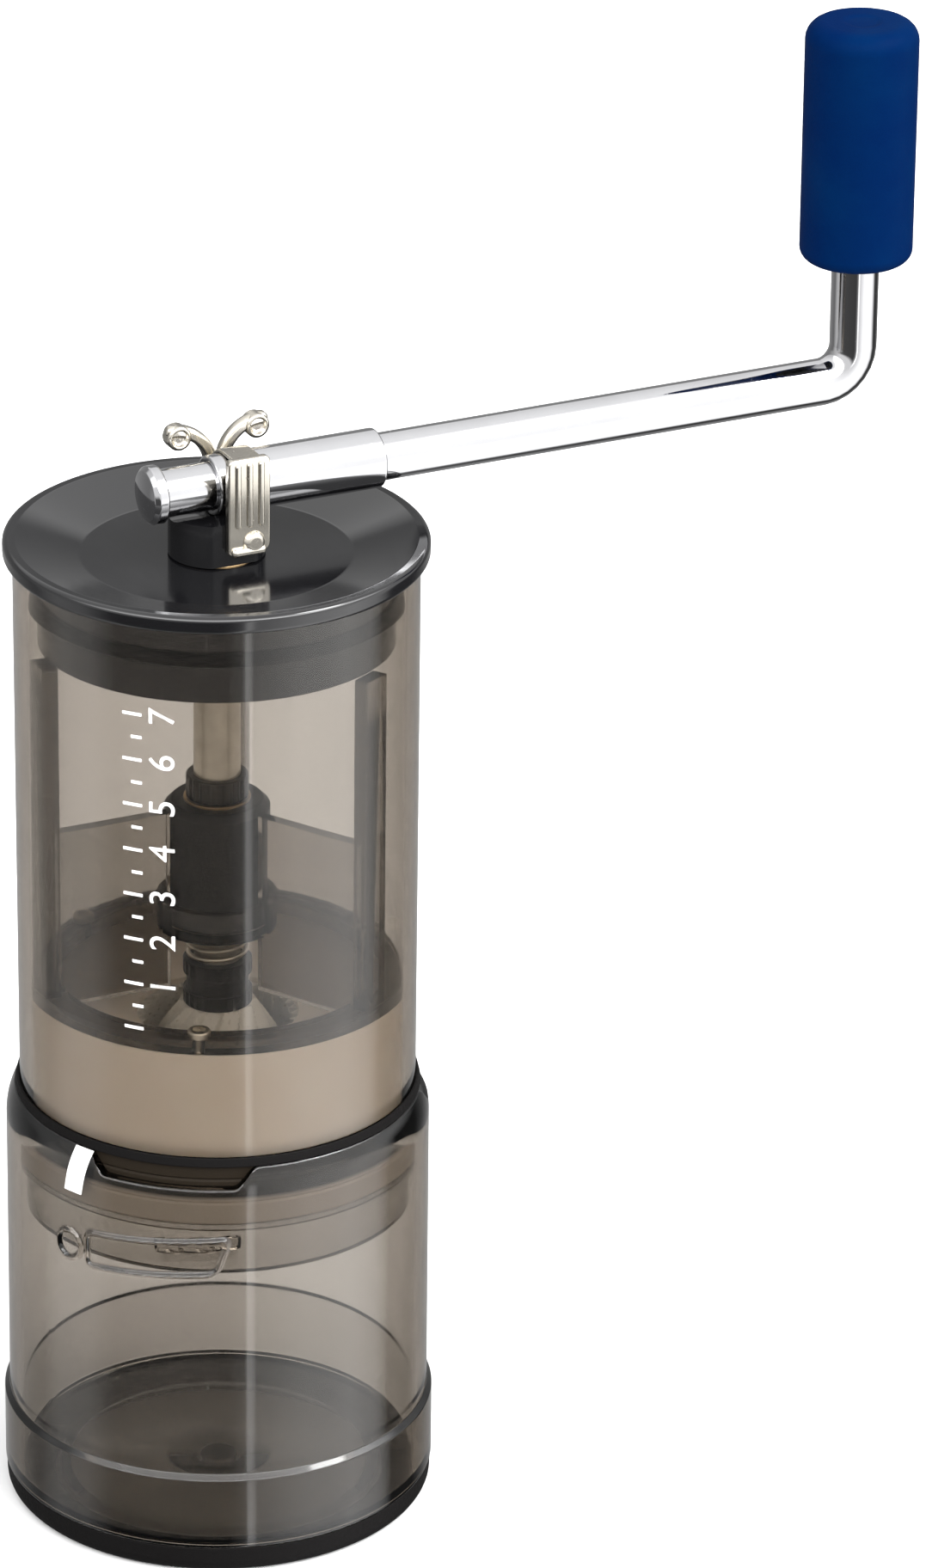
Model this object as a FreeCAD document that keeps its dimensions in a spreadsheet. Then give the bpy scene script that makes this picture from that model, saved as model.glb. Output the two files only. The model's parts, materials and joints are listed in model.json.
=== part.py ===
import FreeCAD, Part
import math
import os
import re

import Sketcher
from FreeCAD import Placement, Rotation, Vector

# Manual coffee grinder, in millimetres. The origin is the centre of the flat base,
# +Z is up and the crank arm points along +X. Every size below is a named cell of the
# sheet, and the pieces are bound to those cells.

SIZES = {
    # Foot ring and cup, from the base up
    "foot_inset": 0.25,
    "foot_wall": 2.1,
    "foot_lip_width": 6.0,
    "foot_height": 4.8,
    "foot_rounding": 2.4,
    "cup_base_step": 0.85,
    "cup_base_top": 18.6,
    "cup_radius": 35.5,
    "cup_wall": 2.2,
    "cup_rim": 75.0,
    "cup_notch_depth": 3.5,
    "cup_notch_angle": 52.0,
    "cup_notch_middle": -128.0,
    "cup_notch_ramp": 4.3,
    "notch_overcut": 0.3,
    "notch_headroom": 2.0,
    "notch_reach": 12.0,
    "cup_shoulder_inset": 1.5,
    "cup_shoulder_drop": 5.6,
    "cup_floor_bottom": 1.6,
    "cup_floor_thickness": 3.0,
    "cup_floor_rounding": 1.5,
    "cup_base_slope": 0.9,
    "spigot_gap": 0.05,
    "centre_foot_radius": 3.0,
    "centre_foot_depth": 1.4,
    # Bayonet between cup and hopper
    "lock_count": 3,
    "lock_lead": 18.0,
    "ledge_drop": 15.4,
    "ledge_thickness": 2.0,
    "ledge_gap": 0.1,
    "ledge_half_width": 6.9,
    "ledge_root": 1.2,
    "wall_bite": 0.5,
    "lug_thickness": 2.0,
    "lug_half_width": 6.2,
    "lug_root": 1.3,
    "lug_gap": 0.08,
    "seal_ring_gap": 0.05,
    "seal_ring_width": 0.8,
    "seal_ring_height": 1.5,
    # Hopper shell
    "lock_gap": 0.1,
    "shell_flare": 0.2,
    "shell_wall": 2.2,
    "hopper_height": 95.4,
    "neck_step": 1.0,
    "neck_wall": 2.2,
    "gasket_lip": 1.2,
    "neck_length": 8.3,
    "gasket_thickness": 0.8,
    "gasket_drop": 10.5,
    "gasket_rise": 1.3,
    "seat_width": 2.1,
    "seat_thickness": 2.6,
    # Burr housing and what it carries
    "housing_drop": 3.8,
    "housing_height": 23.3,
    "housing_gap": 0.05,
    "housing_rim_width": 4.0,
    "throat_step": 1.5,
    "throat_height": 1.0,
    "ring_burr_radius": 22.0,
    "ring_burr_height": 16.0,
    "ring_burr_mouth": 12.0,
    "burr_foot_gap": 0.6,
    "clamp_ring_gap": 0.3,
    "clamp_ring_lip": 0.6,
    "clamp_ring_thickness": 1.4,
    "screw_radius": 1.0,
    "screw_head_radius": 1.9,
    "screw_head_height": 1.2,
    "screw_length": 7.0,
    "screw_tip_room": 0.2,
    "bridge_screw_inset": 2.1,
    "clamp_screw_inset": 3.65,
    # Bearing bridge
    "web_count": 3,
    "web_thickness": 2.0,
    "web_drop": 1.0,
    "web_angle": 60.0,
    "hoop_height": 2.5,
    "hoop_width": 4.0,
    "post_width": 5.0,
    "post_depth": 2.2,
    "post_gap": 0.2,
    "post_room": 0.5,
    "hub_ring_wall": 1.6,
    "hub_lip_gap": 0.6,
    "hub_lip_thickness": 1.4,
    "hub_ring_height": 4.0,
    "sleeve_radius": 8.8,
    "thrust_washer_thickness": 0.6,
    "sleeve_height": 21.0,
    "sleeve_chamfer": 1.2,
    "sleeve_gap": 0.05,
    "web_gap": 0.15,
    "bush_wall": 1.1,
    "bush_length": 7.0,
    "bush_flange_width": 0.6,
    "bush_flange_height": 0.4,
    # Drive shaft and grind setting
    "shaft_radius": 3.9,
    "running_gap": 0.05,
    "overcut": 1.0,
    "shaft_hex_cut": 1.3,
    "shaft_hex_lead": 0.4,
    "shaft_tip_room": 1.25,
    "shaft_shoulder_rise": 0.2,
    "burr_hex_step": 0.9,
    "thread_step": 0.4,
    "thread_length": 13.0,
    "collar_width": 1.3,
    "collar_height": 4.0,
    "collar_gap": 0.1,
    "burr_drop": 0.2,
    "burr_height": 19.0,
    "burr_foot_radius": 18.0,
    "burr_foot_height": 0.6,
    "burr_neck_radius": 6.5,
    "burr_flute_count": 12,
    "burr_flute_width": 1.6,
    "burr_flute_depth": 1.5,
    "driver_wall": 1.9,
    "driver_waist_depth": 0.6,
    "driver_waist_height": 3.0,
    "driver_height": 8.0,
    "nut_radius": 10.0,
    "nut_height": 6.4,
    "nut_gap": 0.1,
    "nut_lobes": 6,
    "nut_scallop_radius": 3.0,
    "nut_scallop_depth": 1.5,
    "wire_radius": 0.4,
    "spring_room": 1.0,
    "spring_turns": 3.5,
    "spring_length": 6.0,
    "washer_reach": 1.3,
    "washer_gap": 0.3,
    # Lid
    "lid_overhang": 1.6,
    "lid_flange_height": 3.0,
    "lid_edge_rounding": 0.9,
    "lid_rim_width": 2.0,
    "dish_slope_width": 10.6,
    "dish_depth": 3.0,
    "lid_floor_thickness": 2.2,
    "skirt_gap": 1.6,
    "skirt_thickness": 2.0,
    "skirt_depth": 13.9,
    "lid_bush_wall": 1.5,
    "lid_bush_flange_width": 1.4,
    "lid_bush_flange_height": 2.4,
    "lid_bush_proud": 0.25,
    "seal_wire_radius": 1.2,
    "seal_drop": 6.2,
    "seal_groove_depth": 1.0,
    "seal_groove_room": 0.05,
    # Crank head
    "hub_radius": 8.0,
    "hub_rise": 4.6,
    "hub_socket_roof": 1.0,
    "neck_pin_radius": 5.5,
    "neck_pin_reach": 1.9,
    "clip_groove_depth": 0.65,
    "clip_width": 1.4,
    "clip_gap": 0.3,
    "clip_thickness": 0.8,
    "hub_flat_depth": 1.0,
    "arm_rise": 4.3,
    "arm_sleeve_wall": 1.0,
    "arm_sleeve_start": -1.4,
    "arm_sleeve_end": 28.6,
    "rod_radius": 4.0,
    "rod_start": -10.2,
    "elbow_x": 117.0,
    "elbow_radius": 6.0,
    "stop_lip": 0.9,
    "stop_length": 3.0,
    "stop_pin_radius": 2.5,
    "stop_pin_length": 2.2,
    "lug_x": 3.5,
    "lug_reach": 3.0,
    "lug_width": 6.0,
    "lug_drop": 1.4,
    "lug_fall": 2.9,
    "strap_thickness": 0.6,
    "strap_width": 5.0,
    "strap_gap": 0.05,
    "foot_plate_gap": 0.6,
    "foot_plate_reach": 2.5,
    "plate_left": -1.6,
    "plate_width": 8.9,
    "plate_thickness": 1.5,
    "plate_fall": 9.5,
    "plate_rise": 7.2,
    "plate_corner": 2.6,
    "plate_small_corner": 0.8,
    "rib_count": 3,
    "rib_depth": 0.45,
    "rib_width": 1.1,
    "rib_spacing": 2.6,
    "rib_foot": 4.8,
    "rib_head": 0.6,
    "rivet_radius": 1.2,
    "rivet_head_radius": 2.0,
    "rivet_head_height": 0.9,
    "rivet_rise": 2.1,
    "rivet_depth": 2.6,
    # Wing screw
    "wing_screw_radius": 1.5,
    "screw_foot": 0.6,
    "wing_washer_radius": 2.2,
    "wing_washer_thickness": 0.5,
    "wing_boss_radius": 2.0,
    "wing_boss_height": 2.6,
    "wing_tip_radius": 1.25,
    "wing_root_angle": 10.0,
    "wing_thickness": 1.4,
    "wing_rise": 8.1,
    "wing_clearance": 0.3,
    # Knob
    "knob_rise": 21.2,
    "knob_length": 41.8,
    "knob_radius": 9.5,
    "knob_rounding": 3.2,
    "knob_foot_rounding": 2.2,
    "grip_wall": 2.5,
    "grip_end": 3.0,
    "core_gap": 0.5,
    "spindle_shoulder": 1.0,
    "spindle_room": 12.3,
    "head_room": 0.4,
    "head_gap": 0.2,
    "knob_washer_radius": 5.0,
    "knob_washer_thickness": 0.8,
    "knob_screw_radius": 1.5,
    "knob_screw_length": 10.0,
    "knob_screw_head_radius": 3.0,
    "knob_screw_head_height": 1.8,
}

# What follows from the sizes above: the heights and radii of pieces that seat on each other or fit together

WORKED_OUT = {
    "foot_radius": "cup_base_radius - foot_inset",
    "foot_inner_radius": "foot_radius - foot_wall",
    "foot_lip_radius": "foot_inner_radius - foot_lip_width",
    "cup_base_radius": "cup_radius + cup_base_step",
    "cup_bore_radius": "cup_radius - cup_wall",
    "cup_notch_floor": "cup_rim - cup_notch_depth",
    "cup_floor_top": "cup_floor_bottom + cup_floor_thickness",
    "centre_foot_height": "cup_floor_bottom + centre_foot_depth",
    "ledge_underside": "cup_rim - ledge_drop",
    "ledge_radius": "neck_radius + ledge_gap",
    "shell_radius": "cup_bore_radius - lock_gap",
    "shell_top_radius": "shell_radius + shell_flare",
    "shell_bore_radius": "shell_radius - shell_wall",
    "shell_top": "cup_rim + hopper_height",
    "neck_radius": "shell_radius - neck_step",
    "neck_bore_radius": "neck_radius - neck_wall",
    "neck_top": "gasket_bottom - gasket_lip",
    "neck_bottom": "neck_top - neck_length",
    "gasket_groove_radius": "shell_radius - gasket_thickness",
    "gasket_bottom": "cup_rim - gasket_drop",
    "gasket_top": "cup_rim + gasket_rise",
    "seat_radius": "shell_bore_radius - seat_width",
    "seat_bottom": "housing_bottom - seat_thickness",
    "housing_bottom": "cup_rim - housing_drop",
    "housing_top": "housing_bottom + housing_height",
    "throat_radius": "ring_burr_mouth + throat_step",
    "throat_top": "ring_burr_top + throat_height",
    "ring_burr_top": "housing_bottom + ring_burr_height",
    "ring_burr_foot": "burr_foot_radius + burr_foot_gap",
    "clamp_ring_radius": "seat_radius - clamp_ring_gap",
    "clamp_ring_bore": "ring_burr_foot + clamp_ring_lip",
    "bridge_screw_circle": "shell_bore_radius - bridge_screw_inset",
    "clamp_screw_circle": "ring_burr_radius + clamp_screw_inset",
    "web_top": "sleeve_top - web_drop",
    "hoop_inner_radius": "shell_bore_radius - hoop_width",
    "post_top": "skirt_bottom - post_room",
    "hub_ring_radius": "sleeve_radius + hub_ring_wall",
    "hub_lip_radius": "shaft_radius + hub_lip_gap",
    "sleeve_bottom": "spring_top + thrust_washer_thickness + hub_lip_thickness",
    "sleeve_top": "sleeve_bottom + sleeve_height",
    "bush_radius": "shaft_radius + bush_wall",
    "bush_flange_radius": "bush_radius + bush_flange_width",
    "shaft_hex_flats": "2 * shaft_radius - shaft_hex_cut",
    "burr_hex_flats": "2 * (shaft_radius - burr_hex_step)",
    "thread_radius": "burr_hex_flats / 2 - thread_step",
    "shaft_hex_bottom": "neck_pin_bottom - shaft_hex_lead",
    "shaft_hex_top": "arm_height - arm_sleeve_radius - strap_gap - hub_socket_roof - shaft_tip_room",
    "shaft_shoulder": "burr_top + shaft_shoulder_rise",
    "thread_bottom": "burr_bottom - thread_length",
    "collar_radius": "shaft_radius + collar_width",
    "burr_bottom": "housing_bottom - burr_drop",
    "burr_top": "burr_bottom + burr_height",
    "driver_radius": "shaft_radius + driver_wall",
    "driver_waist_radius": "driver_radius - driver_waist_depth",
    "driver_top": "burr_top + driver_height",
    "spring_radius": "shaft_radius + spring_room",
    "spring_top": "driver_top + spring_length",
    "washer_radius": "spring_radius + washer_reach",
    "washer_bore": "shaft_radius + washer_gap",
    "lid_radius": "shell_top_radius + lid_overhang",
    "lid_top": "shell_top + lid_flange_height",
    "dish_rim_radius": "lid_radius - lid_rim_width",
    "dish_floor_radius": "dish_rim_radius - dish_slope_width",
    "skirt_radius": "shell_bore_radius - skirt_gap",
    "skirt_bottom": "shell_top - skirt_depth",
    "lid_bush_radius": "neck_pin_radius + lid_bush_wall",
    "lid_bush_flange_radius": "lid_bush_radius + lid_bush_flange_width",
    "lid_bush_bottom": "lid_top - dish_depth - lid_floor_thickness - lid_bush_flange_height",
    "seal_height": "shell_top - seal_drop",
    "hub_top": "lid_top + hub_rise",
    "neck_pin_bottom": "lid_bush_bottom - neck_pin_reach",
    "clip_groove_radius": "neck_pin_radius - clip_groove_depth",
    "clip_radius": "neck_pin_radius + clip_width",
    "clip_bottom": "lid_bush_bottom - clip_gap - clip_thickness",
    "hub_flat": "hub_radius - hub_flat_depth",
    "arm_height": "hub_top + arm_rise",
    "arm_sleeve_radius": "rod_radius + arm_sleeve_wall",
    "stop_radius": "rod_radius + stop_lip",
    "lug_y": "arm_sleeve_radius + lug_reach",
    "lug_bottom": "lid_top - lug_drop",
    "lug_top": "arm_height - lug_fall",
    "foot_plate_bottom": "lug_top + foot_plate_gap",
    "plate_bottom": "arm_height - plate_fall",
    "plate_top": "arm_height + plate_rise",
    "rib_bottom": "plate_bottom + rib_foot",
    "rib_top": "plate_top - rib_head",
    "rivet_height": "plate_bottom + rivet_rise",
    "rivet_x": "plate_left + plate_width / 2",
    "wing_screw_bottom": "lug_bottom + screw_foot",
    "wing_top": "arm_height + wing_rise",
    "knob_bottom": "arm_height + knob_rise",
    "spindle_radius": "rod_radius - spindle_shoulder",
    "spindle_top": "knob_bottom + knob_length - spindle_room",
    "head_room_radius": "knob_washer_radius + head_room",
}

doc = FreeCAD.newDocument("coffee_grinder")
sheet = doc.addObject("Spreadsheet::Sheet", "sizes")
for row, (size_name, size) in enumerate(SIZES.items(), start=1):
    sheet.set(f"A{row}", size_name)
    sheet.set(f"B{row}", str(size))
    sheet.setAlias(f"B{row}", size_name)
doc.recompute()

nodes = []

# A turned item starts at this angle, because its axis is lost at zero. Its formula then sets the angle.
FIRST_ANGLE = 10
SAME_POINT = 1e-6


def driving(text):
    """The formula with each worked out name replaced by what it follows from."""
    def swap(word):
        name = word.group()
        return f"({driving(WORKED_OUT[name])})" if name in WORKED_OUT else name
    return re.sub(r"[a-z]\w*", swap, text)


def formula(text):
    """The formula in driving sizes, each pointed at the sheet."""
    def point_at_sheet(word):
        name = word.group()
        return f"sizes.{name}" if name in SIZES else name
    return re.sub(r"[a-z]\w*", point_at_sheet, driving(text))


def number(text):
    """The formula's present value."""
    return float(sheet.evalExpression(driving(text)))


def bind(item, name, text):
    item.setExpression(name, formula(text))


def keep(item, label):
    """Name a finished piece, so that it gets a file of its own."""
    item.Label = label
    nodes.append(item)
    return item


# Sketches and PartDesign features

def origin_item(body, role):
    return next(item for item in body.Origin.OriginFeatures if item.Role == role)


def arc_middle(start, end, radius, side):
    """The point half way along the short arc from start to end, bulging to the given side."""
    chord = end - start
    height = radius - math.sqrt(radius ** 2 - chord.Length ** 2 / 4)
    across = Vector(-chord.y, chord.x, 0).normalize()
    return (start + end) / 2 + across * height * side


def corner(sketch, edge, place, axis_name, text):
    """Tie one coordinate of a corner to its formula."""
    if text == "0":
        axis = -2 if axis_name == "DistanceX" else -1
        sketch.addConstraint(Sketcher.Constraint("PointOnObject", edge, place, axis))
        return
    index = sketch.addConstraint(Sketcher.Constraint(axis_name, -1, 1, edge, place, number(text)))
    bind(sketch, f"Constraints[{index}]", text)


def draw(sketch, points):
    """A closed outline. A point is (x, y), or (x, y, radius, side) where an arc leads to it."""
    spots = [Vector(number(point[0]), number(point[1]), 0) for point in points]
    edges = []
    for index, point in enumerate(points):
        start, end = spots[index - 1], spots[index]
        if len(point) == 2:
            shape = Part.LineSegment(start, end)
        else:
            shape = Part.Arc(start, arc_middle(start, end, number(point[2]), point[3]), end)
        edge = sketch.addGeometry(shape, False)
        forward = (sketch.getPoint(edge, 1) - start).Length < SAME_POINT
        edges.append((edge, 1, 2) if forward else (edge, 2, 1))
    for index, point in enumerate(points):
        edge, first, last = edges[index]
        after, after_first, _ = edges[(index + 1) % len(edges)]
        sketch.addConstraint(Sketcher.Constraint("Coincident", edge, last, after, after_first))
        corner(sketch, edge, last, "DistanceX", point[0])
        corner(sketch, edge, last, "DistanceY", point[1])
        if len(point) == 4:
            radius = sketch.addConstraint(Sketcher.Constraint("Radius", edge, number(point[2])))
            bind(sketch, f"Constraints[{radius}]", point[2])


def new_sketch(body, role, offset=None, turn=None):
    """A sketch on one of the body's own planes, moved out along its normal, turned about the upright."""
    sketch = body.newObject("Sketcher::SketchObject", f"{body.Name}_sketch")
    sketch.AttachmentSupport = (origin_item(body, role), [""])
    sketch.MapMode = "FlatFace"
    if turn is not None:
        sketch.AttachmentOffset = Placement(Vector(), Rotation(Vector(0, 1, 0), FIRST_ANGLE))
        bind(sketch, "AttachmentOffset.Rotation.Angle", turn)
        bind(sketch, "AttachmentOffset.Base.x", f"({offset}) * sin(({turn}) * 1deg)")
        bind(sketch, "AttachmentOffset.Base.z", f"({offset}) * cos(({turn}) * 1deg)")
    elif offset is not None:
        bind(sketch, "AttachmentOffset.Base.z", offset)
    doc.recompute()
    return sketch


def new_body(name):
    return doc.addObject("PartDesign::Body", name)


def revolve(body, points, kind="Revolution"):
    """Turn an outline of (radius, height) points about the upright axis."""
    sketch = new_sketch(body, "XZ_Plane")
    draw(sketch, points)
    feature = body.newObject(f"PartDesign::{kind}", f"{body.Name}_{kind.lower()}")
    feature.Profile = sketch
    feature.ReferenceAxis = (sketch, ["V_Axis"])
    feature.Angle = 360
    doc.recompute()
    return feature


def extrude(body, sketch, length, kind="Pad", back=False, midplane=False):
    feature = body.newObject(f"PartDesign::{kind}", f"{body.Name}_{kind.lower()}")
    feature.Profile = sketch
    feature.Reversed = back
    feature.Midplane = midplane
    bind(feature, "Length", length)
    doc.recompute()
    return feature


def pattern(body, feature, count):
    """Repeat a feature evenly about the upright axis."""
    copies = body.newObject("PartDesign::PolarPattern", f"{body.Name}_pattern")
    copies.Originals = [feature]
    copies.Axis = (origin_item(body, "Z_Axis"), [""])
    copies.Angle = 360
    bind(copies, "Occurrences", count)
    body.Tip = copies
    doc.recompute()
    return copies


def turned(label, points, x=None):
    """A piece turned about the upright axis, or about an axis beside it."""
    body = new_body(f"{label}_body")
    revolve(body, points)
    if x is not None:
        bind(body, "Placement.Base.x", x)
    return keep(body, label)


def rectangle(left, right, bottom, top):
    return [(right, bottom), (right, top), (left, top), (left, bottom)]


# Part primitives and booleans

def place(item, x, y, z, axis=None, angle=None):
    if axis is not None:
        item.Placement = Placement(Vector(), Rotation(Vector(*axis), angle))
    bind(item, "Placement.Base.x", x)
    bind(item, "Placement.Base.y", y)
    bind(item, "Placement.Base.z", z)
    return item


def cylinder(name, radius, height, x="0", y="0", z="0", axis=None, angle=None):
    item = doc.addObject("Part::Cylinder", name)
    bind(item, "Radius", radius)
    bind(item, "Height", height)
    return place(item, x, y, z, axis, angle)


def lying_cylinder(name, radius, length, start):
    """A cylinder on the arm's axis, which runs along X."""
    return cylinder(name, radius, length, start, "0", "arm_height", (0, 1, 0), 90)


def box(name, length, width, height, x, y, z):
    item = doc.addObject("Part::Box", name)
    bind(item, "Length", length)
    bind(item, "Width", width)
    bind(item, "Height", height)
    return place(item, x, y, z)


def hexagon(name, flats, bottom, top):
    item = doc.addObject("Part::Prism", name)
    item.Polygon = 6
    bind(item, "Circumradius", f"({flats}) / sqrt(3)")
    bind(item, "Height", f"({top}) - ({bottom})")
    return place(item, "0", "0", bottom)


def join(name, pieces):
    item = doc.addObject("Part::MultiFuse", name)
    item.Shapes = pieces
    item.Refine = True
    return item


def cut(name, base, tool):
    item = doc.addObject("Part::Cut", name)
    item.Base = base
    item.Tool = tool
    item.Refine = True
    return item


def round_the_axis(circle, first_angle, count):
    """Places evenly spaced on a circle about the upright axis, as pairs of formulas."""
    angles = [f"(({first_angle}) + {index} * 360 / {count}) * 1deg" for index in range(int(number(count)))]
    return [(f"({circle}) * cos({angle})", f"({circle}) * sin({angle})") for angle in angles]


def screws(label, places, shank_bottom, head_bottom):
    """Small screws in one node."""
    pieces = []
    for x, y in places:
        shank = cylinder(f"{label}_shank", "screw_radius", "screw_length", x, y, shank_bottom)
        head = cylinder(f"{label}_head", "screw_head_radius", "screw_head_height", x, y, head_bottom)
        pieces.append(join(f"{label}_one", [shank, head]))
    group = doc.addObject("Part::Compound", f"{label}_group")
    group.Links = pieces
    return keep(group, label)


def pins(name, radius, places, bottom, height):
    """Upright pins that cut holes or scallops."""
    return join(f"{name}_set", [cylinder(name, radius, height, x, y, bottom) for x, y in places])


def radial_box(name, near, far, width, bottom, top, angle):
    """A box that points away from the upright axis."""
    turn = f"({angle}) * 1deg"
    item = doc.addObject("Part::Box", name)
    item.Placement = Placement(Vector(), Rotation(Vector(0, 0, 1), FIRST_ANGLE))
    bind(item, "Length", f"({far}) - ({near})")
    bind(item, "Width", width)
    bind(item, "Height", f"({top}) - ({bottom})")
    bind(item, "Placement.Rotation.Angle", angle)
    bind(item, "Placement.Base.x", f"({near}) * cos({turn}) + ({width}) / 2 * sin({turn})")
    bind(item, "Placement.Base.y", f"({near}) * sin({turn}) - ({width}) / 2 * cos({turn})")
    bind(item, "Placement.Base.z", bottom)
    return item


# Foot ring, with a lip under the cup's floor, and the foot pad in the middle of that floor

turned("foot_ring", [
    ("foot_lip_radius", "0"),
    ("foot_radius - foot_rounding", "0"),
    ("foot_radius", "foot_rounding", "foot_rounding", -1),
    ("foot_radius", "foot_height"),
    ("foot_inner_radius", "foot_height"),
    ("foot_inner_radius", "cup_floor_bottom"),
    ("foot_lip_radius", "cup_floor_bottom"),
])
turned("centre_foot", rectangle("0", "centre_foot_radius", "0", "centre_foot_height"))


# Cup: a turned shell, three low stretches in its rim and three slanted ledges in its bore

def slanted_tab(body, inner, outer, underside, half_width, thickness):
    """A tab on a round wall whose top and underside climb with the lead of the lock."""
    climb = f"({half_width}) * lock_lead / (2 * pi * shell_radius)"
    sketch = new_sketch(body, "YZ_Plane", inner)
    draw(sketch, [
        (half_width, f"{underside} + {climb}"),
        (half_width, f"{underside} + {thickness} + {climb}"),
        (f"-({half_width})", f"{underside} + {thickness} - {climb}"),
        (f"-({half_width})", f"{underside} - {climb}"),
    ])
    tab = extrude(body, sketch, f"{outer} - ({inner})")
    return pattern(body, tab, "lock_count")


def notch_outline():
    """The low stretch of the rim, with a curved ramp at each end."""
    half = "cup_radius * sin(cup_notch_angle / 2 * 1deg)"
    run = "cup_notch_ramp / 2"
    rise = "(cup_rim + notch_overcut - cup_notch_floor) / 2"
    bend = f"(({run})^2 + ({rise})^2) / (2 * ({rise}))"
    low, middle, high = "cup_notch_floor", f"cup_notch_floor + {rise}", f"cup_notch_floor + 2 * {rise}"
    return [
        (f"{half} - 2 * {run}", low),
        (f"{half} - {run}", middle, bend, -1),
        (half, high, bend, 1),
        (half, "cup_rim + notch_headroom"),
        (f"-{half}", "cup_rim + notch_headroom"),
        (f"-{half}", high),
        (f"-({half} - {run})", middle, bend, 1),
        (f"-({half} - 2 * {run})", low, bend, -1),
    ]


cup = new_body("cup_body")
revolve(cup, [
    ("0", "centre_foot_height"),
    ("centre_foot_radius", "centre_foot_height"),
    ("centre_foot_radius", "cup_floor_bottom"),
    ("foot_inner_radius - spigot_gap", "cup_floor_bottom"),
    ("foot_inner_radius - spigot_gap", "foot_height"),
    ("cup_base_radius", "foot_height"),
    ("cup_base_radius", "cup_base_top - cup_base_slope"),
    ("cup_radius", "cup_base_top"),
    ("cup_radius", "cup_rim - cup_shoulder_drop"),
    ("cup_radius - cup_shoulder_inset", "cup_rim",
     "(cup_shoulder_inset^2 + cup_shoulder_drop^2) / (2 * cup_shoulder_inset)", -1),
    ("cup_bore_radius", "cup_rim"),
    ("cup_bore_radius", "cup_floor_top + cup_floor_rounding"),
    ("cup_bore_radius - cup_floor_rounding", "cup_floor_top", "cup_floor_rounding", 1),
    ("0", "cup_floor_top"),
])
notch_sketch = new_sketch(cup, "YZ_Plane", "cup_radius + notch_headroom", "cup_notch_middle")
draw(notch_sketch, notch_outline())
notch = extrude(cup, notch_sketch, "notch_reach", "Pocket")
pattern(cup, notch, "lock_count")
slanted_tab(cup, "ledge_radius - ledge_root", "cup_bore_radius + wall_bite",
            "ledge_underside", "ledge_half_width", "ledge_thickness")
revolve(cup, rectangle("0", "ledge_radius", "ledge_underside - ledge_thickness",
                       "ledge_underside + 2 * ledge_thickness"), "Groove")
keep(cup, "cup")


# Seal ring on the cup's rim, round the hopper

seal_inner = "shell_radius + seal_ring_gap"
turned("seal_ring", [
    (seal_inner, "cup_rim"),
    (f"{seal_inner} + seal_ring_width", "cup_rim"),
    (f"{seal_inner} + seal_ring_width / 2", "cup_rim + seal_ring_height"),
    (seal_inner, "cup_rim + seal_ring_height"),
])


# Hopper shell with its neck and lugs, and the dark gasket in the groove above the neck

shell = new_body("hopper_shell_body")
revolve(shell, [
    ("shell_bore_radius", "shell_top"),
    ("shell_top_radius", "shell_top"),
    ("shell_radius", "gasket_top"),
    ("gasket_groove_radius", "gasket_top"),
    ("gasket_groove_radius", "gasket_bottom"),
    ("shell_radius", "gasket_bottom"),
    ("shell_radius", "neck_top"),
    ("neck_radius", "neck_top"),
    ("neck_radius", "neck_bottom"),
    ("neck_bore_radius", "neck_bottom"),
    ("neck_bore_radius", "seat_bottom"),
    ("seat_radius", "seat_bottom + neck_bore_radius - seat_radius"),
    ("seat_radius", "housing_bottom"),
    ("shell_bore_radius", "housing_bottom"),
])
slanted_tab(shell, "neck_radius - lug_root", "shell_radius + wall_bite",
            "ledge_underside - lug_gap - lug_thickness", "lug_half_width", "lug_thickness")
revolve(shell, rectangle("shell_radius", "cup_radius", "neck_bottom", "neck_top"), "Groove")
keep(shell, "hopper_shell")

turned("collar_gasket", rectangle("gasket_groove_radius", "shell_radius", "gasket_bottom", "gasket_top"))


# Burr housing, ring burr and the ring that clamps it from below

housing_outside = "shell_bore_radius - housing_gap"
between_webs = "web_angle + 180 / web_count"
bridge_places = round_the_axis("bridge_screw_circle", between_webs, "web_count")
clamp_places = round_the_axis("clamp_screw_circle", between_webs, "web_count")
clamp_bottom = "housing_bottom - clamp_ring_thickness"
hoop_top = "housing_top + hoop_height"

housing = new_body("burr_housing_body")
revolve(housing, [
    (housing_outside, "housing_bottom"),
    (housing_outside, "housing_top"),
    (f"{housing_outside} - housing_rim_width", "housing_top"),
    ("throat_radius", "throat_top"),
    ("throat_radius", "ring_burr_top"),
    ("ring_burr_radius", "ring_burr_top"),
    ("ring_burr_radius", "housing_bottom"),
])
bridge_pins = pins("bridge_pin", "screw_radius", bridge_places,
                   f"{hoop_top} - screw_length - screw_tip_room", "screw_length + 2 * screw_tip_room")
clamp_pins = pins("clamp_pin", "screw_radius", clamp_places,
                  f"{clamp_bottom} - screw_tip_room", "screw_length + 2 * screw_tip_room")
keep(cut("burr_housing_cut", cut("housing_upper_cut", housing, bridge_pins), clamp_pins), "burr_housing")

turned("ring_burr", [
    ("ring_burr_mouth", "ring_burr_top"),
    ("ring_burr_radius", "ring_burr_top"),
    ("ring_burr_radius", "housing_bottom"),
    ("ring_burr_foot", "housing_bottom"),
])

clamp_ring = new_body("clamp_ring_body")
revolve(clamp_ring, rectangle("clamp_ring_bore", "clamp_ring_radius", clamp_bottom, "housing_bottom"))
keep(cut("clamp_ring_cut", clamp_ring, clamp_pins), "clamp_ring")
screws("clamp_screws", clamp_places, clamp_bottom, f"{clamp_bottom} - screw_head_height")


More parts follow.
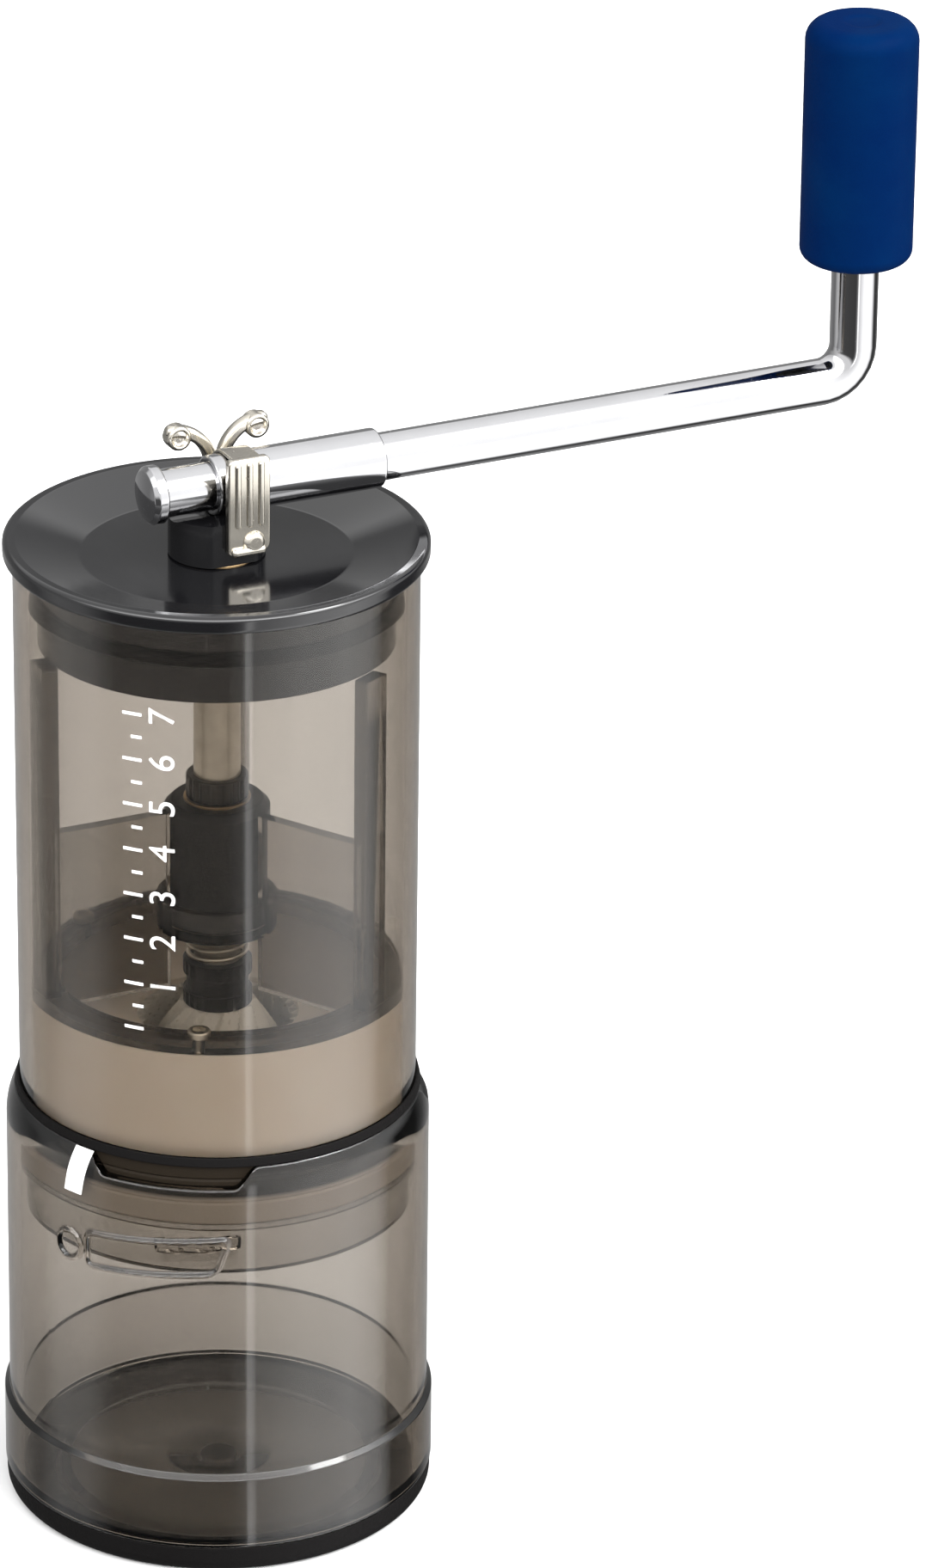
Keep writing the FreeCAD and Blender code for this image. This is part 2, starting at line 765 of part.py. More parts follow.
# Bearing bridge: a hoop on the housing, three webs with posts, and a ring that seats the sleeve

hoop = new_body("hoop_body")
revolve(hoop, rectangle("hoop_inner_radius", housing_outside, "housing_top", hoop_top))
hub_ring = new_body("hub_ring_body")
revolve(hub_ring, [
    ("hub_lip_radius", "sleeve_bottom - hub_lip_thickness"),
    ("hub_ring_radius", "sleeve_bottom - hub_lip_thickness"),
    ("hub_ring_radius", "sleeve_bottom + hub_ring_height"),
    ("sleeve_radius + sleeve_gap", "sleeve_bottom + hub_ring_height"),
    ("sleeve_radius + sleeve_gap", "sleeve_bottom"),
    ("hub_lip_radius", "sleeve_bottom"),
])
bridge_pieces = [hoop, hub_ring]
post_outside = "shell_bore_radius - post_gap"
for index in range(int(number("web_count"))):
    web_turn = f"web_angle + {index} * 360 / web_count"
    bridge_pieces.append(radial_box("web", "sleeve_radius + web_gap", post_outside, "web_thickness",
                                    "housing_top", "web_top", web_turn))
    bridge_pieces.append(radial_box("post", f"{post_outside} - post_depth", post_outside, "post_width",
                                    "housing_top", "post_top", web_turn))
keep(cut("shaft_bridge_cut", join("bridge_join", bridge_pieces), bridge_pins), "shaft_bridge")
screws("bridge_screws", bridge_places, f"{hoop_top} - screw_length", hoop_top)


# Bearing sleeve, its two bushes and the washer that the spring presses on

bore = "shaft_radius + running_gap"
turned("bearing_sleeve", [
    ("bush_radius", "sleeve_bottom"),
    ("sleeve_radius", "sleeve_bottom"),
    ("sleeve_radius", "sleeve_top - sleeve_chamfer"),
    ("sleeve_radius - sleeve_chamfer", "sleeve_top"),
    ("bush_radius", "sleeve_top"),
])
turned("upper_bush", [
    (bore, "sleeve_top - bush_length"),
    ("bush_radius", "sleeve_top - bush_length"),
    ("bush_radius", "sleeve_top"),
    ("bush_flange_radius", "sleeve_top"),
    ("bush_flange_radius", "sleeve_top + bush_flange_height"),
    (bore, "sleeve_top + bush_flange_height"),
])
turned("lower_bush", rectangle(bore, "bush_radius", "sleeve_bottom", "sleeve_bottom + bush_length"))
turned("thrust_washer", rectangle("washer_bore", "washer_radius", "spring_top",
                                  "sleeve_bottom - hub_lip_thickness"))


# Drive shaft and its collar

keep(join("drive_shaft_join", [
    cylinder("shaft_thread", "thread_radius", "burr_bottom - thread_bottom", z="thread_bottom"),
    hexagon("shaft_burr_hex", "burr_hex_flats", "burr_bottom", "shaft_shoulder"),
    cylinder("shaft_round", "shaft_radius", "shaft_hex_bottom - shaft_shoulder", z="shaft_shoulder"),
    hexagon("shaft_top_hex", "shaft_hex_flats", "shaft_hex_bottom", "shaft_hex_top"),
]), "drive_shaft")

collar_bottom = "sleeve_top + bush_flange_height + collar_gap"
turned("shaft_collar", rectangle("shaft_radius", "collar_radius", collar_bottom,
                                 f"{collar_bottom} + collar_height"))


# Inner burr with its flutes, the driver on top of it and the nut below it

inner_burr = new_body("inner_burr_body")
revolve(inner_burr, [
    ("0", "burr_bottom"),
    ("burr_foot_radius", "burr_bottom"),
    ("burr_foot_radius", "burr_bottom + burr_foot_height"),
    ("burr_neck_radius", "burr_top"),
    ("0", "burr_top"),
])
flute_sketch = new_sketch(inner_burr, "XZ_Plane")
draw(flute_sketch, [
    ("burr_foot_radius + burr_flute_depth", "burr_bottom + burr_foot_height"),
    ("burr_neck_radius + burr_flute_depth", "burr_top + burr_foot_height"),
    ("burr_neck_radius - burr_flute_depth", "burr_top + burr_foot_height"),
    ("burr_foot_radius - burr_flute_depth", "burr_bottom + burr_foot_height"),
])
flute = extrude(inner_burr, flute_sketch, "burr_flute_width", "Pocket", midplane=True)
pattern(inner_burr, flute, "burr_flute_count")
burr_bore = hexagon("burr_bore", "burr_hex_flats + 2 * running_gap", "burr_bottom - overcut",
                    "burr_top + overcut")
keep(cut("inner_burr_cut", inner_burr, burr_bore), "inner_burr")

driver_middle = "(burr_top + driver_top) / 2"
turned("burr_driver", [
    (bore, "burr_top"),
    ("driver_radius", "burr_top"),
    ("driver_radius", f"{driver_middle} - driver_waist_height / 2"),
    ("driver_waist_radius", f"{driver_middle} - driver_waist_height / 2"),
    ("driver_waist_radius", f"{driver_middle} + driver_waist_height / 2"),
    ("driver_radius", f"{driver_middle} + driver_waist_height / 2"),
    ("driver_radius", "driver_top"),
    (bore, "driver_top"),
])

nut_top = "burr_bottom - nut_gap"
nut = new_body("adjust_nut_body")
revolve(nut, rectangle("thread_radius + running_gap", "nut_radius", f"{nut_top} - nut_height", nut_top))
scallops = pins("scallop", "nut_scallop_radius",
                round_the_axis("nut_radius + nut_scallop_radius - nut_scallop_depth", "0", "nut_lobes"),
                f"{nut_top} - nut_height - overcut", "nut_height + 2 * overcut")
keep(cut("adjust_nut_cut", nut, scallops), "adjust_nut")


# Coil spring between the driver and the washer: its ends ease into the level

EASE_TURNS = 0.25
ARCS_PER_TURN = 4
SAMPLES_PER_TURN = 72


def coil_height(turns, total, pitch):
    """Height of the wire after so many turns, level at both ends."""
    if turns < EASE_TURNS:
        return pitch * turns ** 2 / (2 * EASE_TURNS)
    if turns > total - EASE_TURNS:
        rest = total - turns
        return pitch * (total - EASE_TURNS) - pitch * rest ** 2 / (2 * EASE_TURNS)
    return pitch * (turns - EASE_TURNS / 2)


def coil_slope(turns, total, pitch):
    return pitch * min(1, turns / EASE_TURNS, (total - turns) / EASE_TURNS)


def arc_through(start, knee, end):
    """The arc that leaves start towards the knee and comes into end from it."""
    weight = (end - start).Length / 2 / (knee - start).Length
    middle = (start + knee * (2 * weight) + end) / (2 + 2 * weight)
    return Part.Arc(start, middle, end).toShape()


def biarc(start, leaving, end, arriving):
    """Two tangent arcs from one point and direction to another."""
    chord = end - start
    both = chord.dot(leaving + arriving)
    spread = 2 * (1 - leaving.dot(arriving))
    reach = (math.sqrt(both ** 2 + spread * chord.dot(chord)) - both) / spread
    first_knee = start + leaving * reach
    last_knee = end - arriving * reach
    meeting = (first_knee + last_knee) / 2
    return [arc_through(start, first_knee, meeting), arc_through(meeting, last_knee, end)]


def coil_spring():
    wire, radius = number("wire_radius"), number("spring_radius")
    total = number("spring_turns")
    bottom = number("driver_top") + wire
    pitch = (number("spring_top") - wire - bottom) / (total - EASE_TURNS)

    def spot(turns):
        angle = 2 * math.pi * turns
        height = bottom + coil_height(turns, total, pitch)
        return Vector(radius * math.cos(angle), radius * math.sin(angle), height)

    def heading(turns):
        angle = 2 * math.pi * turns
        across = 2 * math.pi * radius
        rise = coil_slope(turns, total, pitch)
        return Vector(-across * math.sin(angle), across * math.cos(angle), rise).normalize()

    steps = [index / ARCS_PER_TURN for index in range(int(total * ARCS_PER_TURN) + 1)]
    first, last = steps[0], steps[-1]
    tail = 2 * wire
    edges = [Part.LineSegment(spot(first) - heading(first) * tail, spot(first)).toShape()]
    for before, after in zip(steps, steps[1:]):
        edges += biarc(spot(before), heading(before), spot(after), heading(after))
    edges.append(Part.LineSegment(spot(last), spot(last) + heading(last) * tail).toShape())
    section = Part.Circle(spot(first) - heading(first) * tail, heading(first), wire).toShape()
    tube = Part.Wire(edges).makePipeShell([Part.Wire([section])], True, False)

    samples = [spot(index / SAMPLES_PER_TURN) for index in range(int(total * SAMPLES_PER_TURN) + 1)]
    gap = min(
        (samples[one] - samples[two]).Length
        for one in range(len(samples))
        for two in range(one + SAMPLES_PER_TURN // 2, len(samples))
    ) - 2 * wire
    print(f"spring: {total} turns, least gap to itself {gap:.2f} mm")
    return tube


spring = doc.addObject("Part::Feature", "burr_spring_feature")
spring.Shape = coil_spring()
spring.Placement = Placement(Vector(), Rotation())
keep(spring, "burr_spring")


# Lid with its dished top, skirt, seal and bush

dish_floor = "lid_top - dish_depth"
seal_room = "seal_wire_radius + seal_groove_room"
turned("lid", [
    ("lid_bush_radius", dish_floor),
    ("lid_bush_radius", f"{dish_floor} - lid_floor_thickness"),
    ("skirt_radius - skirt_thickness", f"{dish_floor} - lid_floor_thickness"),
    ("skirt_radius - skirt_thickness", "skirt_bottom"),
    ("skirt_radius", "skirt_bottom"),
    ("skirt_radius", f"seal_height - ({seal_room})"),
    ("skirt_radius - seal_groove_depth", f"seal_height - ({seal_room})"),
    ("skirt_radius - seal_groove_depth", f"seal_height + ({seal_room})"),
    ("skirt_radius", f"seal_height + ({seal_room})"),
    ("skirt_radius", "shell_top"),
    ("lid_radius - lid_edge_rounding", "shell_top"),
    ("lid_radius", "shell_top + lid_edge_rounding", "lid_edge_rounding", -1),
    ("lid_radius", "lid_top - lid_edge_rounding"),
    ("lid_radius - lid_edge_rounding", "lid_top", "lid_edge_rounding", -1),
    ("dish_rim_radius", "lid_top"),
    ("dish_floor_radius", dish_floor),
])

lid_seal = doc.addObject("Part::Torus", "lid_seal_torus")
bind(lid_seal, "Radius1", "skirt_radius - seal_groove_depth + seal_wire_radius")
bind(lid_seal, "Radius2", "seal_wire_radius")
place(lid_seal, "0", "0", "seal_height")
keep(lid_seal, "lid_seal")

bush_top = f"{dish_floor} + lid_bush_proud"
turned("lid_bush", [
    ("neck_pin_radius + running_gap", "lid_bush_bottom"),
    ("lid_bush_flange_radius", "lid_bush_bottom"),
    ("lid_bush_flange_radius", f"{dish_floor} - lid_floor_thickness"),
    ("lid_bush_radius", f"{dish_floor} - lid_floor_thickness"),
    ("lid_bush_radius", bush_top),
    ("neck_pin_radius + running_gap", bush_top),
])


# Crank hub: it turns in the lid's bush, sits on the shaft's hexagon and cradles the arm's sleeve

hub_bottom = f"{bush_top} + running_gap"
saddle_radius = "arm_sleeve_radius + strap_gap"
hub_solid = join("hub_solid", [
    cylinder("hub_drum", "hub_radius", f"hub_top - ({hub_bottom})", z=hub_bottom),
    cylinder("hub_neck", "neck_pin_radius", f"{hub_bottom} - neck_pin_bottom", z="neck_pin_bottom"),
    box("hub_lug", "lug_width", "lug_y", "lug_top - lug_bottom", "lug_x - lug_width / 2", "0", "lug_bottom"),
    cylinder("hub_lug_end", "lug_width / 2", "lug_top - lug_bottom", "lug_x", "lug_y", "lug_bottom"),
])
clip_groove = cut(
    "clip_groove",
    cylinder("clip_groove_outside", "clip_radius", "clip_thickness", z="clip_bottom"),
    cylinder("clip_groove_inside", "clip_groove_radius", "clip_thickness", z="clip_bottom"),
)
hub_cuts = join("hub_cuts", [
    lying_cylinder("saddle", saddle_radius, "4 * hub_radius", "-2 * hub_radius"),
    box("hub_flat_cut", "2 * hub_radius", "hub_radius", "hub_top - neck_pin_bottom",
        "-hub_radius", "-hub_flat - hub_radius", "neck_pin_bottom"),
    cylinder("lug_hole", "wing_screw_radius + running_gap", "lug_top - lug_bottom", "lug_x", "lug_y",
             "wing_screw_bottom - screw_tip_room"),
    cylinder("rivet_hole", "rivet_radius", "rivet_depth", "rivet_x", "-hub_flat", "rivet_height",
             (1, 0, 0), -90),
])
socket = hexagon("hub_socket", "shaft_hex_flats + 2 * running_gap", "neck_pin_bottom - overcut",
                 f"arm_height - {saddle_radius} - hub_socket_roof")
hub_cut = cut("hub_cut", hub_solid, hub_cuts)
hub_grooved = cut("hub_grooved", hub_cut, clip_groove)
keep(cut("crank_hub_cut", hub_grooved, socket), "crank_hub")

turned("hub_clip", rectangle("clip_groove_radius", "clip_radius", "clip_bottom",
                             "clip_bottom + clip_thickness"))


# Arm sleeve

sleeve_length = "arm_sleeve_end - arm_sleeve_start"
keep(cut(
    "arm_sleeve_cut",
    lying_cylinder("arm_sleeve_outside", "arm_sleeve_radius", sleeve_length, "arm_sleeve_start"),
    lying_cylinder("arm_sleeve_bore", "rod_radius + running_gap", sleeve_length, "arm_sleeve_start"),
), "arm_sleeve")


# Clamp strap: a ribbed plate on the hub's flat, a band over the sleeve and a foot under the wing screw

strap_inside = saddle_radius
strap_outside = f"{saddle_radius} + strap_thickness"
band = new_body("band_body")
band_sketch = new_sketch(band, "YZ_Plane", "lug_x")
draw(band_sketch, [
    ("-hub_flat", f"arm_height + {strap_outside}"),
    ("0", f"arm_height + {strap_outside}"),
    (strap_outside, "arm_height", strap_outside, 1),
    (strap_outside, "foot_plate_bottom + strap_thickness"),
    ("lug_y + foot_plate_reach", "foot_plate_bottom + strap_thickness"),
    ("lug_y + foot_plate_reach", "foot_plate_bottom"),
    (strap_inside, "foot_plate_bottom"),
    (strap_inside, "arm_height"),
    ("0", f"arm_height + {strap_inside}", strap_inside, -1),
    ("-hub_flat", f"arm_height + {strap_inside}"),
])
extrude(band, band_sketch, "strap_width", midplane=True)

plate_right = "plate_left + plate_width"
plate = new_body("plate_body")
plate_sketch = new_sketch(plate, "XZ_Plane", "hub_flat")
draw(plate_sketch, [
    (f"{plate_right} - plate_corner", "plate_bottom"),
    (plate_right, "plate_bottom + plate_corner", "plate_corner", -1),
    (plate_right, "plate_top - plate_small_corner"),
    (f"{plate_right} - plate_small_corner", "plate_top", "plate_small_corner", -1),
    ("plate_left + plate_small_corner", "plate_top"),
    ("plate_left", "plate_top - plate_small_corner", "plate_small_corner", -1),
    ("plate_left", "plate_bottom + plate_small_corner"),
    ("plate_left + plate_small_corner", "plate_bottom", "plate_small_corner", -1),
])
extrude(plate, plate_sketch, "plate_thickness")

plate_middle = "plate_left + plate_width / 2"
plate_face = "-hub_flat - plate_thickness"
strap_pieces = [band, plate]
rib_count = int(number("rib_count"))
for index in range(rib_count):
    rib_left = f"{plate_middle} - rib_width / 2 + {index - (rib_count - 1) / 2} * rib_spacing"
    strap_pieces.append(box("rib", "rib_width", "rib_depth", "rib_top - rib_bottom", rib_left,
                            f"{plate_face} - rib_depth", "rib_bottom"))
strap_holes = join("strap_holes", [
    cylinder("strap_screw_hole", "wing_screw_radius + running_gap", "2 * strap_thickness", "lug_x", "lug_y",
             "foot_plate_bottom - strap_thickness / 2"),
    cylinder("strap_rivet_hole", "rivet_radius", "plate_thickness", "rivet_x", plate_face, "rivet_height",
             (1, 0, 0), -90),
])
keep(cut("clamp_strap_cut", join("strap_join", strap_pieces), strap_holes), "clamp_strap")

keep(join("strap_rivet_join", [
    cylinder("rivet_shank", "rivet_radius", "rivet_depth + plate_thickness", "rivet_x", plate_face,
             "rivet_height", (1, 0, 0), -90),
    cylinder("rivet_head", "rivet_head_radius", "rivet_head_height", "rivet_x",
             f"{plate_face} - rivet_head_height", "rivet_height", (1, 0, 0), -90),
]), "strap_rivet")


# Wing screw with its captive washer. The wings sweep up so that they pass over the band.

washer_bottom = "foot_plate_bottom + strap_thickness"
boss_bottom = f"{washer_bottom} + wing_washer_thickness"
keep(cut(
    "wing_washer_cut",
    cylinder("wing_washer_outside", "wing_washer_radius", "wing_washer_thickness",
             "lug_x", "lug_y", washer_bottom),
    cylinder("wing_washer_bore", "wing_screw_radius + running_gap", "wing_washer_thickness",
             "lug_x", "lug_y", washer_bottom),
), "wing_washer")


def wing(name, side):
    """One wing, a quarter ring about the arm's height, to the right or left of the screw."""
    inner = f"({strap_outside} + wing_clearance)"
    outer = "(wing_top - arm_height)"
    root = "wing_root_angle * 1deg"
    body = new_body(name)
    sketch = new_sketch(body, "XZ_Plane", "-lug_y")
    draw(sketch, [
        ("lug_x", "arm_height"),
        (f"lug_x + {side} * (lug_y - {inner})", "arm_height"),
        (f"lug_x + {side} * lug_y", f"arm_height + {inner}", inner, side),
        (f"lug_x + {side} * lug_y", "wing_top", "wing_tip_radius", -side),
        (f"lug_x + {side} * (lug_y - {outer} * cos({root}))", f"arm_height + {outer} * sin({root})",
         outer, -side),
    ])
    extrude(body, sketch, "wing_thickness", midplane=True)
    return body


keep(join("wing_screw_join", [
    cylinder("wing_shank", "wing_screw_radius", f"{boss_bottom} - wing_screw_bottom",
             "lug_x", "lug_y", "wing_screw_bottom"),
    cylinder("wing_boss", "wing_boss_radius", "wing_boss_height", "lug_x", "lug_y", boss_bottom),
    wing("right_wing", 1),
    wing("left_wing", -1),
]), "wing_screw")


# Sliding arm rod with its elbow and spindle, and the stop on its inner end

rod_shoulder = "knob_bottom + core_gap"
elbow = doc.addObject("Part::Torus", "elbow")
elbow.Angle3 = 90
elbow.Placement = Placement(Vector(), Rotation(Vector(0, 0, -1), Vector(1, 0, 0), Vector(0, -1, 0), "XYZ"))
bind(elbow, "Radius1", "elbow_radius")
bind(elbow, "Radius2", "rod_radius")
place(elbow, "elbow_x - elbow_radius", "0", "arm_height + elbow_radius")
rod_solid = join("rod_solid", [
    lying_cylinder("rod_pin", "stop_pin_radius", "stop_pin_length", "rod_start - stop_pin_length"),
    lying_cylinder("rod_arm", "rod_radius", "elbow_x - elbow_radius - rod_start", "rod_start"),
    elbow,
    cylinder("rod_riser", "rod_radius", f"{rod_shoulder} - arm_height - elbow_radius", "elbow_x", "0",
             "arm_height + elbow_radius"),
    cylinder("spindle", "spindle_radius", f"spindle_top - ({rod_shoulder})", "elbow_x", "0", rod_shoulder),
])
screw_hole = cylinder("spindle_hole", "knob_screw_radius", "knob_screw_length", "elbow_x", "0",
                      "spindle_top + knob_washer_thickness - knob_screw_length")
keep(cut("arm_rod_cut", rod_solid, screw_hole), "arm_rod")

keep(cut(
    "end_stop_cut",
    lying_cylinder("end_stop_outside", "stop_radius", "stop_length", "rod_start - stop_length"),
    lying_cylinder("end_stop_bore", "stop_pin_radius", "stop_pin_length", "rod_start - stop_pin_length"),
), "end_stop")


# Knob: a hard core that spins on the spindle, a soft grip over it, and the screw that holds it

core_radius = "knob_radius - grip_wall"
knob_top = "knob_bottom + knob_length"
core_floor = f"{rod_shoulder} + running_gap"
turned("knob_core", [
    ("spindle_radius + running_gap", core_floor),
    (core_radius, core_floor),
    (core_radius, f"{knob_top} - grip_end"),
    ("head_room_radius", f"{knob_top} - grip_end"),
    ("head_room_radius", "spindle_top - head_gap"),
    ("spindle_radius + running_gap", "spindle_top - head_gap"),
], "elbow_x")
turned("knob_grip", [
    (core_radius, "knob_bottom"),
    ("knob_radius - knob_foot_rounding", "knob_bottom"),
    ("knob_radius", "knob_bottom + knob_foot_rounding", "knob_foot_rounding", -1),
    ("knob_radius", f"{knob_top} - knob_rounding"),
    ("knob_radius - knob_rounding", knob_top, "knob_rounding", -1),
    ("0", knob_top),
    ("0", f"{knob_top} - grip_end"),
    (core_radius, f"{knob_top} - grip_end"),
], "elbow_x")
turned("knob_washer", rectangle("knob_screw_radius", "knob_washer_radius", "spindle_top",
                                "spindle_top + knob_washer_thickness"), "elbow_x")
head_bottom = "spindle_top + knob_washer_thickness"
keep(join("knob_screw_join", [
    cylinder("knob_screw_shank", "knob_screw_radius", "knob_screw_length", "elbow_x", "0",
             f"{head_bottom} - knob_screw_length"),
    cylinder("knob_screw_head", "knob_screw_head_radius", "knob_screw_head_height", "elbow_x", "0",
             head_bottom),
]), "knob_screw")


# Check everything, then write one file for each piece

doc.recompute()
for item in doc.Objects:
    if "Invalid" in item.State or "Error" in item.State:
        raise RuntimeError(f"{item.Label}: {item.State}")
for item in nodes:
    if item.Shape.isNull() or not item.Shape.isValid():
        raise RuntimeError(f"{item.Label}: no valid shape")
os.makedirs("parts", exist_ok=True)
for item in nodes:
    item.Shape.exportStep(os.path.join("parts", f"{item.Label}.step"))
    print(f"{item.Label}: {len(item.Shape.Solids)} solid(s), {item.Shape.Volume / 1000:.2f} cm3")
print(f"{len(nodes)} nodes")
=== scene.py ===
import functools
import json
import math

import bmesh
import bpy
from mathutils import Matrix, Vector


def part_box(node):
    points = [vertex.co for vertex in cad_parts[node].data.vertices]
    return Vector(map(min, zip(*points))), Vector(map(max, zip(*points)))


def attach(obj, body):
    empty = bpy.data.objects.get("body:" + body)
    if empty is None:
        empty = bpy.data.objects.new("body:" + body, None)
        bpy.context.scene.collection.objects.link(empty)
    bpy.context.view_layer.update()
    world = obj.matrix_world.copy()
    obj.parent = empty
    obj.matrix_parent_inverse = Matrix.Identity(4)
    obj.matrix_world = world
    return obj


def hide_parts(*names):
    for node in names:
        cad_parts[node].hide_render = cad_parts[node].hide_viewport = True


# A hand coffee grinder with a smoke plastic cup and hopper, a black lid and a bright crank with a blue grip.
# Shapes are drawn in millimetres about the frame's own boxes. finishPiece makes metres of them.

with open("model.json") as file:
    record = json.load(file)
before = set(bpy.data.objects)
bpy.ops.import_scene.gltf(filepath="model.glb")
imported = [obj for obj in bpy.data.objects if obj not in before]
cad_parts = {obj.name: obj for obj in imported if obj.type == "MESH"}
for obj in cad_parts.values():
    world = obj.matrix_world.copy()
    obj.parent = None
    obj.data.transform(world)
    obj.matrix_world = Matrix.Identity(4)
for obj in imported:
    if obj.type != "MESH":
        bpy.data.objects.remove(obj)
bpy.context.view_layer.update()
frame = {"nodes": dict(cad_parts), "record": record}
scene = bpy.context.scene
millimetre = 0.001
fullTurn = 2 * math.pi
quarter = math.pi / 2
nearly = 0.001
runningGap = 0.05  # between pieces that turn or slide in each other
cameraTurn = math.radians(114.4)  # from an angle seen by the camera to the object's own
print("frame loaded:", len(frame["nodes"]), "nodes")


# Sizes read from the frame

@functools.cache
def boxOf(node):
    low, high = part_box(node)
    return low / millimetre, high / millimetre


def bottomOf(node):
    return boxOf(node)[0].z


def topOf(node):
    return boxOf(node)[1].z


def radiusOf(node):
    low, high = boxOf(node)
    return (high.x - low.x) / 2


def sizesOf(node):
    return radiusOf(node), bottomOf(node), topOf(node)


def middleOf(node):
    low, high = boxOf(node)
    return (low + high) / 2


# Node trees

class Value:
    # Wraps one socket. Plain arithmetic on it adds Math nodes.
    def __init__(self, finish, socket):
        self.finish = finish
        self.socket = socket

    def maths(self, operation, first, second):
        return self.finish.node("ShaderNodeMath", {"operation": operation}, {0: first, 1: second})["Value"]

    def __add__(self, other):
        return self.maths("ADD", self, other)

    def __mul__(self, other):
        return self.maths("MULTIPLY", self, other)

    def __pow__(self, other):
        return self.maths("POWER", self, other)

    __radd__ = __add__
    __rmul__ = __mul__


class Finish:
    # One node tree, of a material or of the world
    def __init__(self, owner):
        self.owner = owner
        owner.use_nodes = True
        self.tree = owner.node_tree
        self.tree.nodes.clear()

    def node(self, kind, settings=None, inputs=None):
        node = self.tree.nodes.new(kind)
        for name, setting in (settings or {}).items():
            if name == "stops":
                self.setStops(node.color_ramp.elements, setting)
            else:
                setattr(node, name, setting)
        for name, value in (inputs or {}).items():
            socket = node.inputs[name] if isinstance(name, int) else self.openSocket(node.inputs, name)
            if isinstance(value, Value):
                self.tree.links.new(value.socket, socket)
            else:
                socket.default_value = value
        return {socket.name: Value(self, socket) for socket in node.outputs if socket.enabled}

    def openSocket(self, sockets, name):
        return next(socket for socket in sockets if socket.name == name and socket.enabled)

    def setStops(self, elements, stops):
        while len(elements) < len(stops):
            elements.new(1)
        for element, (place, colour) in zip(elements, stops):
            element.position = place
            element.color = (*colour, 1)

    def place(self):
        return self.node("ShaderNodeTexCoord")["Object"]

    def split(self, place):
        return self.node("ShaderNodeSeparateXYZ", {}, {0: place})

    def stretched(self, scale):
        return self.node("ShaderNodeMapping", {}, {"Vector": self.place(), "Scale": scale})["Vector"]

    def turnedPlace(self):
        # Distance from the upright axis and height, so that a pattern on it goes round in rings
        parts = self.split(self.place())
        across = (parts["X"] * parts["X"] + parts["Y"] * parts["Y"]) ** 0.5
        return self.node("ShaderNodeCombineXYZ", {}, {"X": across, "Z": parts["Z"]})["Vector"]

    def noise(self, scale, detail, roughness, place=None):
        inputs = {"Vector": place or self.place(), "Scale": scale, "Detail": detail, "Roughness": roughness}
        return self.node("ShaderNodeTexNoise", {}, inputs)["Fac"]

    def span(self, value, low, high, newLow, newHigh):
        inputs = {"Value": value, "From Min": low, "From Max": high, "To Min": newLow, "To Max": newHigh}
        return self.node("ShaderNodeMapRange", {}, inputs)["Result"]

    def blend(self, factor, first, second):
        inputs = {"Factor": factor, "A": (*first, 1) if isinstance(first, tuple) else first,
                  "B": (*second, 1) if isinstance(second, tuple) else second}
        return self.node("ShaderNodeMix", {"data_type": "RGBA"}, inputs)["Result"]

    def bump(self, height, depth):
        inputs = {"Height": height, "Distance": depth, "Strength": 1.0}
        return self.node("ShaderNodeBump", {}, inputs)["Normal"]

    def surface(self, inputs, inside=None):
        shader = self.node("ShaderNodeBsdfPrincipled", {}, inputs)["BSDF"]
        ends = {"Surface": shader, "Volume": inside} if inside else {"Surface": shader}
        self.node("ShaderNodeOutputMaterial", {}, ends)
        return self.owner


def newFinish(name):
    return Finish(bpy.data.materials.new(name))


def shaded(share, colour):
    return tuple(share * part for part in colour)


# In the looks a noise is its scale, detail and roughness, and a span runs from two values to two others

smokeLook = {
    "taken": (258, 278, 304),  # how much of each colour a metre of it takes, as a power of e
    "clear": (0.99, 0.985, 0.98),
    "clouded": (0.94, 0.93, 0.92),
    "flow": (26, 2, 0.4),
    "flowStretch": (1, 1, 0.25),
    "smudges": (70, 4, 0.6),
    "hairlines": (900, 2, 0.5),
    "hairlineStretch": (1, 1, 0.04),
    "ripples": (45, 1, 0.3),
    "clouding": (0.35, 0.65, 0, 1),
    "smudged": (0.45, 0.8, 0.0, 0.09),
    "scratched": (0.66, 0.78, 0, 0.12),
    "rippleDepth": 0.00002,
    "refraction": 1.45,
}


def smokePlastic(name, depth):
    # Clear tinted plastic: darker where it is thick, with faint flow lines, hand smudges and scratches
    finish, look = newFinish(name), smokeLook
    flow = finish.noise(*look["flow"], finish.stretched(look["flowStretch"]))
    hairlines = finish.noise(*look["hairlines"], finish.stretched(look["hairlineStretch"]))
    most = max(look["taken"])
    passed = (*(1 - part / most for part in look["taken"]), 1)
    return finish.surface({
        "Base Color": finish.blend(finish.span(flow, *look["clouding"]), look["clear"], look["clouded"]),
        "Roughness": finish.span(finish.noise(*look["smudges"]), *look["smudged"])
        + finish.span(hairlines, *look["scratched"]),
        "IOR": look["refraction"],
        "Transmission Weight": 1.0,
        "Normal": finish.bump(finish.noise(*look["ripples"]), look["rippleDepth"]),
    }, finish.node("ShaderNodeVolumeAbsorption", {}, {"Color": passed, "Density": depth * most})["Volume"])


glossLook = {
    "colour": (0.0035, 0.0035, 0.004),
    "dustColour": (0.009, 0.0088, 0.0088),
    "smears": (55, 4, 0.6),
    "smearStretch": (1, 0.35, 1),
    "dust": (1500, 2, 0.6),
    "ripples": (60, 1, 0.3),
    "rippleDepth": 0.00002,
    "wiped": (0.35, 0.75, 0.07, 0.2),
    "dusty": (0.70, 0.80, 0, 0.35),
    "dustRoughness": 0.3,
    "refraction": 1.5,
}


